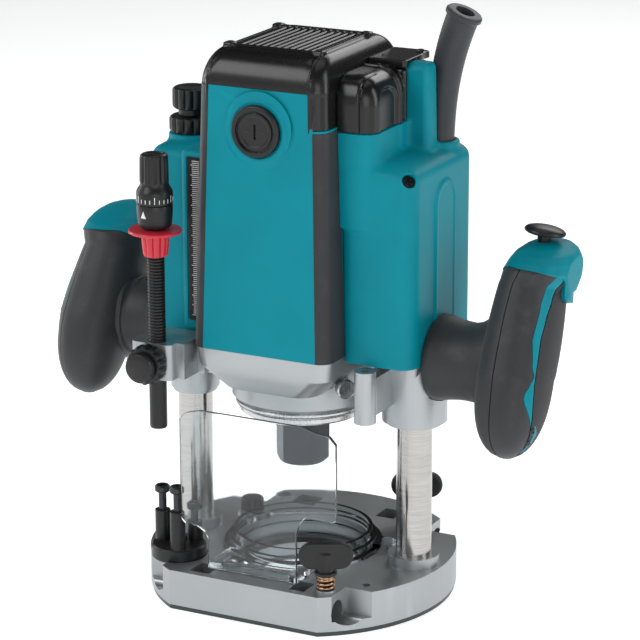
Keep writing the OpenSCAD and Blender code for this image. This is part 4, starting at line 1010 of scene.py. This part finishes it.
# threaded pole with the index collar
pole_prof = [(3.2, 91.2), (4.0, 91.2), (4.4, 91.8)]
z = 94.0
while z < 190:
    deep = 0.42 if 128 < z < 182 else 0.0
    pole_prof += [(4.42, z), (4.42 - deep, z + 0.45), (4.42, z + 0.9)]
    z += 1.6
pole_prof += [(4.45, 194.6), (7.2, 195.0), (7.9, 195.5), (8.45, 197.4), (8.75, 200.5), (8.9, 203.6), (8.95, 206.0), (8.7, 206.7), (5.0, 206.75), (4.4, 206.8), (4.4, 230.2), (0, 230.3)]
turned_form("pole_bar", pole_prof, (PX, PY, 0), "stop_pole", replaces=("stop_pole",), n=72)
tri = []
a = -99 * D2R
for r in (8.6, 9.05):
    for k, z in ((-1.5, 200.9), (1.5, 200.9), (0, 204.4)):
        tri.append((PX + r * math.cos(a) - k * math.sin(a), PY + r * math.sin(a) + k * math.cos(a), z))
piece("pole_index_mark", tri, [(2, 1, 0), (3, 4, 5), (0, 1, 4, 3), (1, 2, 5, 4), (2, 0, 3, 5)], "stop_pole", "black_plastic", mat="white_print")
# red pointer: thin flange over a slotted sleeve
ptr = [(4.7, 192.3), (4.7, 180.6), (5.9, 180.4, 0.2), (6.3, 181.2, 1.0), (6.7, 185.0, 1.3), (7.2, 190.6, 1.4), (7.4, 191.7, 0.6), (7.6, 192.1), (12.9, 192.2), (13.25, 192.5), (13.3, 193.3), (12.9, 193.8), (7.5, 194.0), (4.7, 194.0)]
rings_ptr = ptr[1:] + [ptr[0]]
turned_form("pointer_sleeve", rings_ptr, (PX, PY, 0), "pole_pointer", replaces=("pole_pointer",), lobes=10, sharp=0.45, n=200)
# limit nuts on their rod
rod_prof = [(0, 120), (3.7, 120), (4, 120.4), (4, 231)]
z = 231.4
while z < 252:
    rod_prof += [(4.0, z), (3.72, z + 0.5), (4.0, z + 1.0)]
    z += 1.25
rod_prof += [(3.6, 253.2), (0, 253.3)]
turned_form("limit_rod_bar", rod_prof, (-62.7, 0, 0), "limit_rod", replaces=("limit_rod",), n=48)
for nm, z0, z1, r in (("lower_limit_nut", 231.2, 239.4, 11.3), ("upper_limit_nut", 243.2, 254.0, 9.6)):
    pr = [(4.06, z0 + 0.1), (r * 0.7, z0), (r - 1.3, z0 + 0.05), (r - 0.5, z0 + 0.5, 0.3), (r, z0 + 1.3, 1.2), (r, (z0 + z1) / 2, 1.3), (r, z1 - 1.5, 1.2), (r - 0.5, z1 - 0.5, 0.4), (r - 1.4, z1), (r * 0.62, z1 + 0.02), (r * 0.55, z1 - 0.25)]
    pr += [(4.06, z1 - 0.3), (4.06, z0 + 0.4)] if nm[0] == "l" else [(0, z1 - 0.1)]
    if nm[0] == "u":
        pr = [(4.06, 240.2), (6.1, 239.9), (6.6, 240.2), (6.6, 242.9), (6.9, 243.1)] + pr[1:]
    turned_form(nm + "_wheel", pr, (-62.7, 0, 0), nm, replaces=(nm,), lobes=13, sharp=0.8, n=182)
# clamp wheel of the pole: fluted wheel, slim neck and smooth domed button
cl = [(2.9, -1.4), (2.9, 0.6), (7.6, 0.7), (9.3, 0.9, 0.2), (10.1, 1.8, 1.0), (10.2, 4.4, 1.15), (10.0, 7.0, 1.0), (9.2, 7.9, 0.2), (7.4, 8.2), (5.2, 8.25), (4.9, 8.7), (5.4, 9.0), (7.2, 9.1), (7.7, 9.6), (7.75, 11.6), (7.3, 12.5), (6.2, 13.0), (3.5, 13.15), (0, 13.2)]
turned_form("clamp_wheel", cl, (PX, -60, 126.8), "pole_clamp_knob", replaces=("pole_clamp_knob",), axis="-y", lobes=14, sharp=0.9, n=168)
turned_form("clamp_wheel_collar", [(3.0, -0.3), (4.6, -0.3), (4.6, 0.4), (3.0, 0.4)], (PX, -60, 126.8), "pole_clamp_knob", "black_plastic", mat="copper", axis="-y", n=48)

# brush cap and the raised ring round it
for tag, sgn, y0 in (("front", -1, -45.7), ("rear", 1, 43.7)):
    def cap_field(P, sgn=sgn, y0=y0):
        h = (P[..., 1] - y0) * sgn
        X, Z = (P[..., 0] + 0.8) * 1.07, (P[..., 2] - 246.9) * 1.07
        r = np.hypot(X, Z)
        f = s_max(r - 13.9, np.maximum(h - 2.3, -6.0 - h), 0.9)
        f = s_max(f, -np.maximum(np.abs(r - 10.6) - 0.75, 1.1 - h), 0.4)
        f = s_min(f, np.hypot(np.maximum(np.abs(r - 12.3) - 0.6, 0), h - 2.2) - 0.5, 0.5)
        f = s_max(f, -s_max(r - 8.0, 2.0 - h, 0.5), 0.4)
        f = s_max(f, -np.maximum(np.maximum(np.abs(X) - 0.65, np.abs(Z) - 3.9), 0.6 - h), 0.3)
        for dx in (-4.4, 4.4):
            f = s_min(f, np.maximum(np.hypot(X - dx, Z) - 0.55, np.abs(h - 1.2) - 1.0), 0.3)
        return f
    lo_y, hi_y = (y0 - 3.4, y0 + 2.4) if sgn < 0 else (y0 - 2.4, y0 + 3.4)

    def cap_cut(P, cap_field=cap_field, sgn=sgn, y0=y0):
        return np.maximum(cap_field(P), -((P[..., 1] - y0) * sgn) - 0.1)
    moulded("brush_cap_" + tag, cap_cut, (-15, lo_y, 233.5), (15, hi_y, 263.5), 0.34, "brush_caps", ("brush_caps",), smooth=32)
ring = [(r * 0.94, h) for r, h in [(13.0, -1.0), (14.05, 0.0), (14.2, 1.35), (14.9, 1.75), (16.0, 1.8), (17.2, 1.55), (18.4, 0.95), (19.6, 0.28), (20.6, -0.15), (20.6, -1.0)]]
turned_form("brush_ring", ring, (-0.8, -44.46, 246.9), "motor_housing", axis="-y", shear=0.0256, smooth=60)

# lock-off button: domed cap on its stem
but = [(0, -20.0), (2.9, -20.0), (3.1, -19.4), (3.1, -1.2), (3.6, -0.7), (8.9, -0.5), (10.0, -0.1), (10.35, 0.7), (10.1, 1.5), (9.0, 2.4), (7.0, 3.1), (4.0, 3.6), (0, 3.75)]
c0 = Vector((123.2, 19.0, 195.8))
ax_ = Vector((0.12, 0.13, 1)).normalized()
rings = []
for r, h in but:
    w = min(1, max(0, (h + 2.2) / 2.0))
    n_ = (Vector((0, 0, 1)) * (1 - w) + ax_ * w).normalized()
    u_ = n_.cross(Vector((0, 1, 0))).normalized()
    v2 = n_.cross(u_).normalized()
    cc = Vector((122.0 + 1.2 * w, 19.0, 195.8 + h)) if w < 1 else c0 + ax_ * h
    rings.append([tuple(cc + (u_ * math.cos(2 * math.pi * i / 64) + v2 * math.sin(2 * math.pi * i / 64)) * max(r, 0.002)) for i in range(64)])
v_, f_ = loft(rings)
piece("lock_button_cap", v_, f_, "lock_off_button", replaces=("lock_off_button",), smooth=36)

# depth scale: dark strip with its fine graduations
sc = []
for i in range(78):
    z = 144.6 + i * 1.03
    x0 = -46.2 if i % 5 == 0 else -45.4
    b = [(x0, -31.02, z), (-41.3, -31.02, z), (-41.3, -31.02, z + 0.34), (x0, -31.02, z + 0.34)]
    sc.append((b + [(x, -30.6, zz) for x, _, zz in b], [(0, 1, 2, 3), (7, 6, 5, 4), (1, 0, 4, 5), (2, 1, 5, 6), (3, 2, 6, 7), (0, 3, 7, 4)]))
v_, f_ = join(sc)
piece("scale_graduations", v_, f_, "depth_scale", "black_plastic", mat="white_print")


# wing screws with their coil springs
def wing_field(cx_, cy_, turn):
    ca, sa = math.cos(turn * D2R), math.sin(turn * D2R)

    def f(P):
        x, y, z = P[..., 0] - cx_, P[..., 1] - cy_, P[..., 2]
        u, v = x * ca + y * sa, -x * sa + y * ca
        e = np.hypot(np.maximum(np.abs(u) - 6.6, 0), z - 39.8) - 6.9
        wing = s_max(e, np.abs(v) - (2.1 - 0.5 * np.exp(-(e + 7) ** 2 / 18)), 1.4)
        r = np.hypot(u, v)
        hub = s_max(r - (3.3 + 0.9 * np.clip((36 - z) / 6, 0, 1)), np.abs(z - 35.5) - 5.6, 0.8)
        flange = s_max(r - 5.6, np.abs(z - 30.9) - 0.8, 0.5)
        shank = s_max(r - 2.85, np.abs(z - 24.4) - 6.8, 0.5)
        return s_min(s_min(s_min(wing, hub, 1.6), flange, 1.0), shank, 0.3)
    return f


for nm, (wx, wy) in (("front", (41.7, -56.6)), ("rear", (37.6, 56.4))):
    moulded(nm + "_wing", wing_field(wx, wy, 27), (wx - 15, wy - 15, 17), (wx + 15, wy + 15, 47.6), 0.5, nm + "_guide_screw", (nm + "_guide_screw",))
    v_, f_ = helix(4.1, 0.72, 22.9, 29.9, 4.2, (wx, wy))
    piece(nm + "_wing_spring", v_, f_, "guide_screw_springs", "spring_steel", replaces=("guide_screw_springs",), smooth=60)


# plunge spring inside the right column: a real coil, given its own copy of the mesh
v_, f_ = helix(4.62, 0.62, 60.3, 225.9, 34, (62.7, 0), n=16)
coil = piece("plunge_spring_coil", v_, f_, "column_springs", "spring_steel", replaces=("column_springs",), smooth=60)
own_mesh(coil)
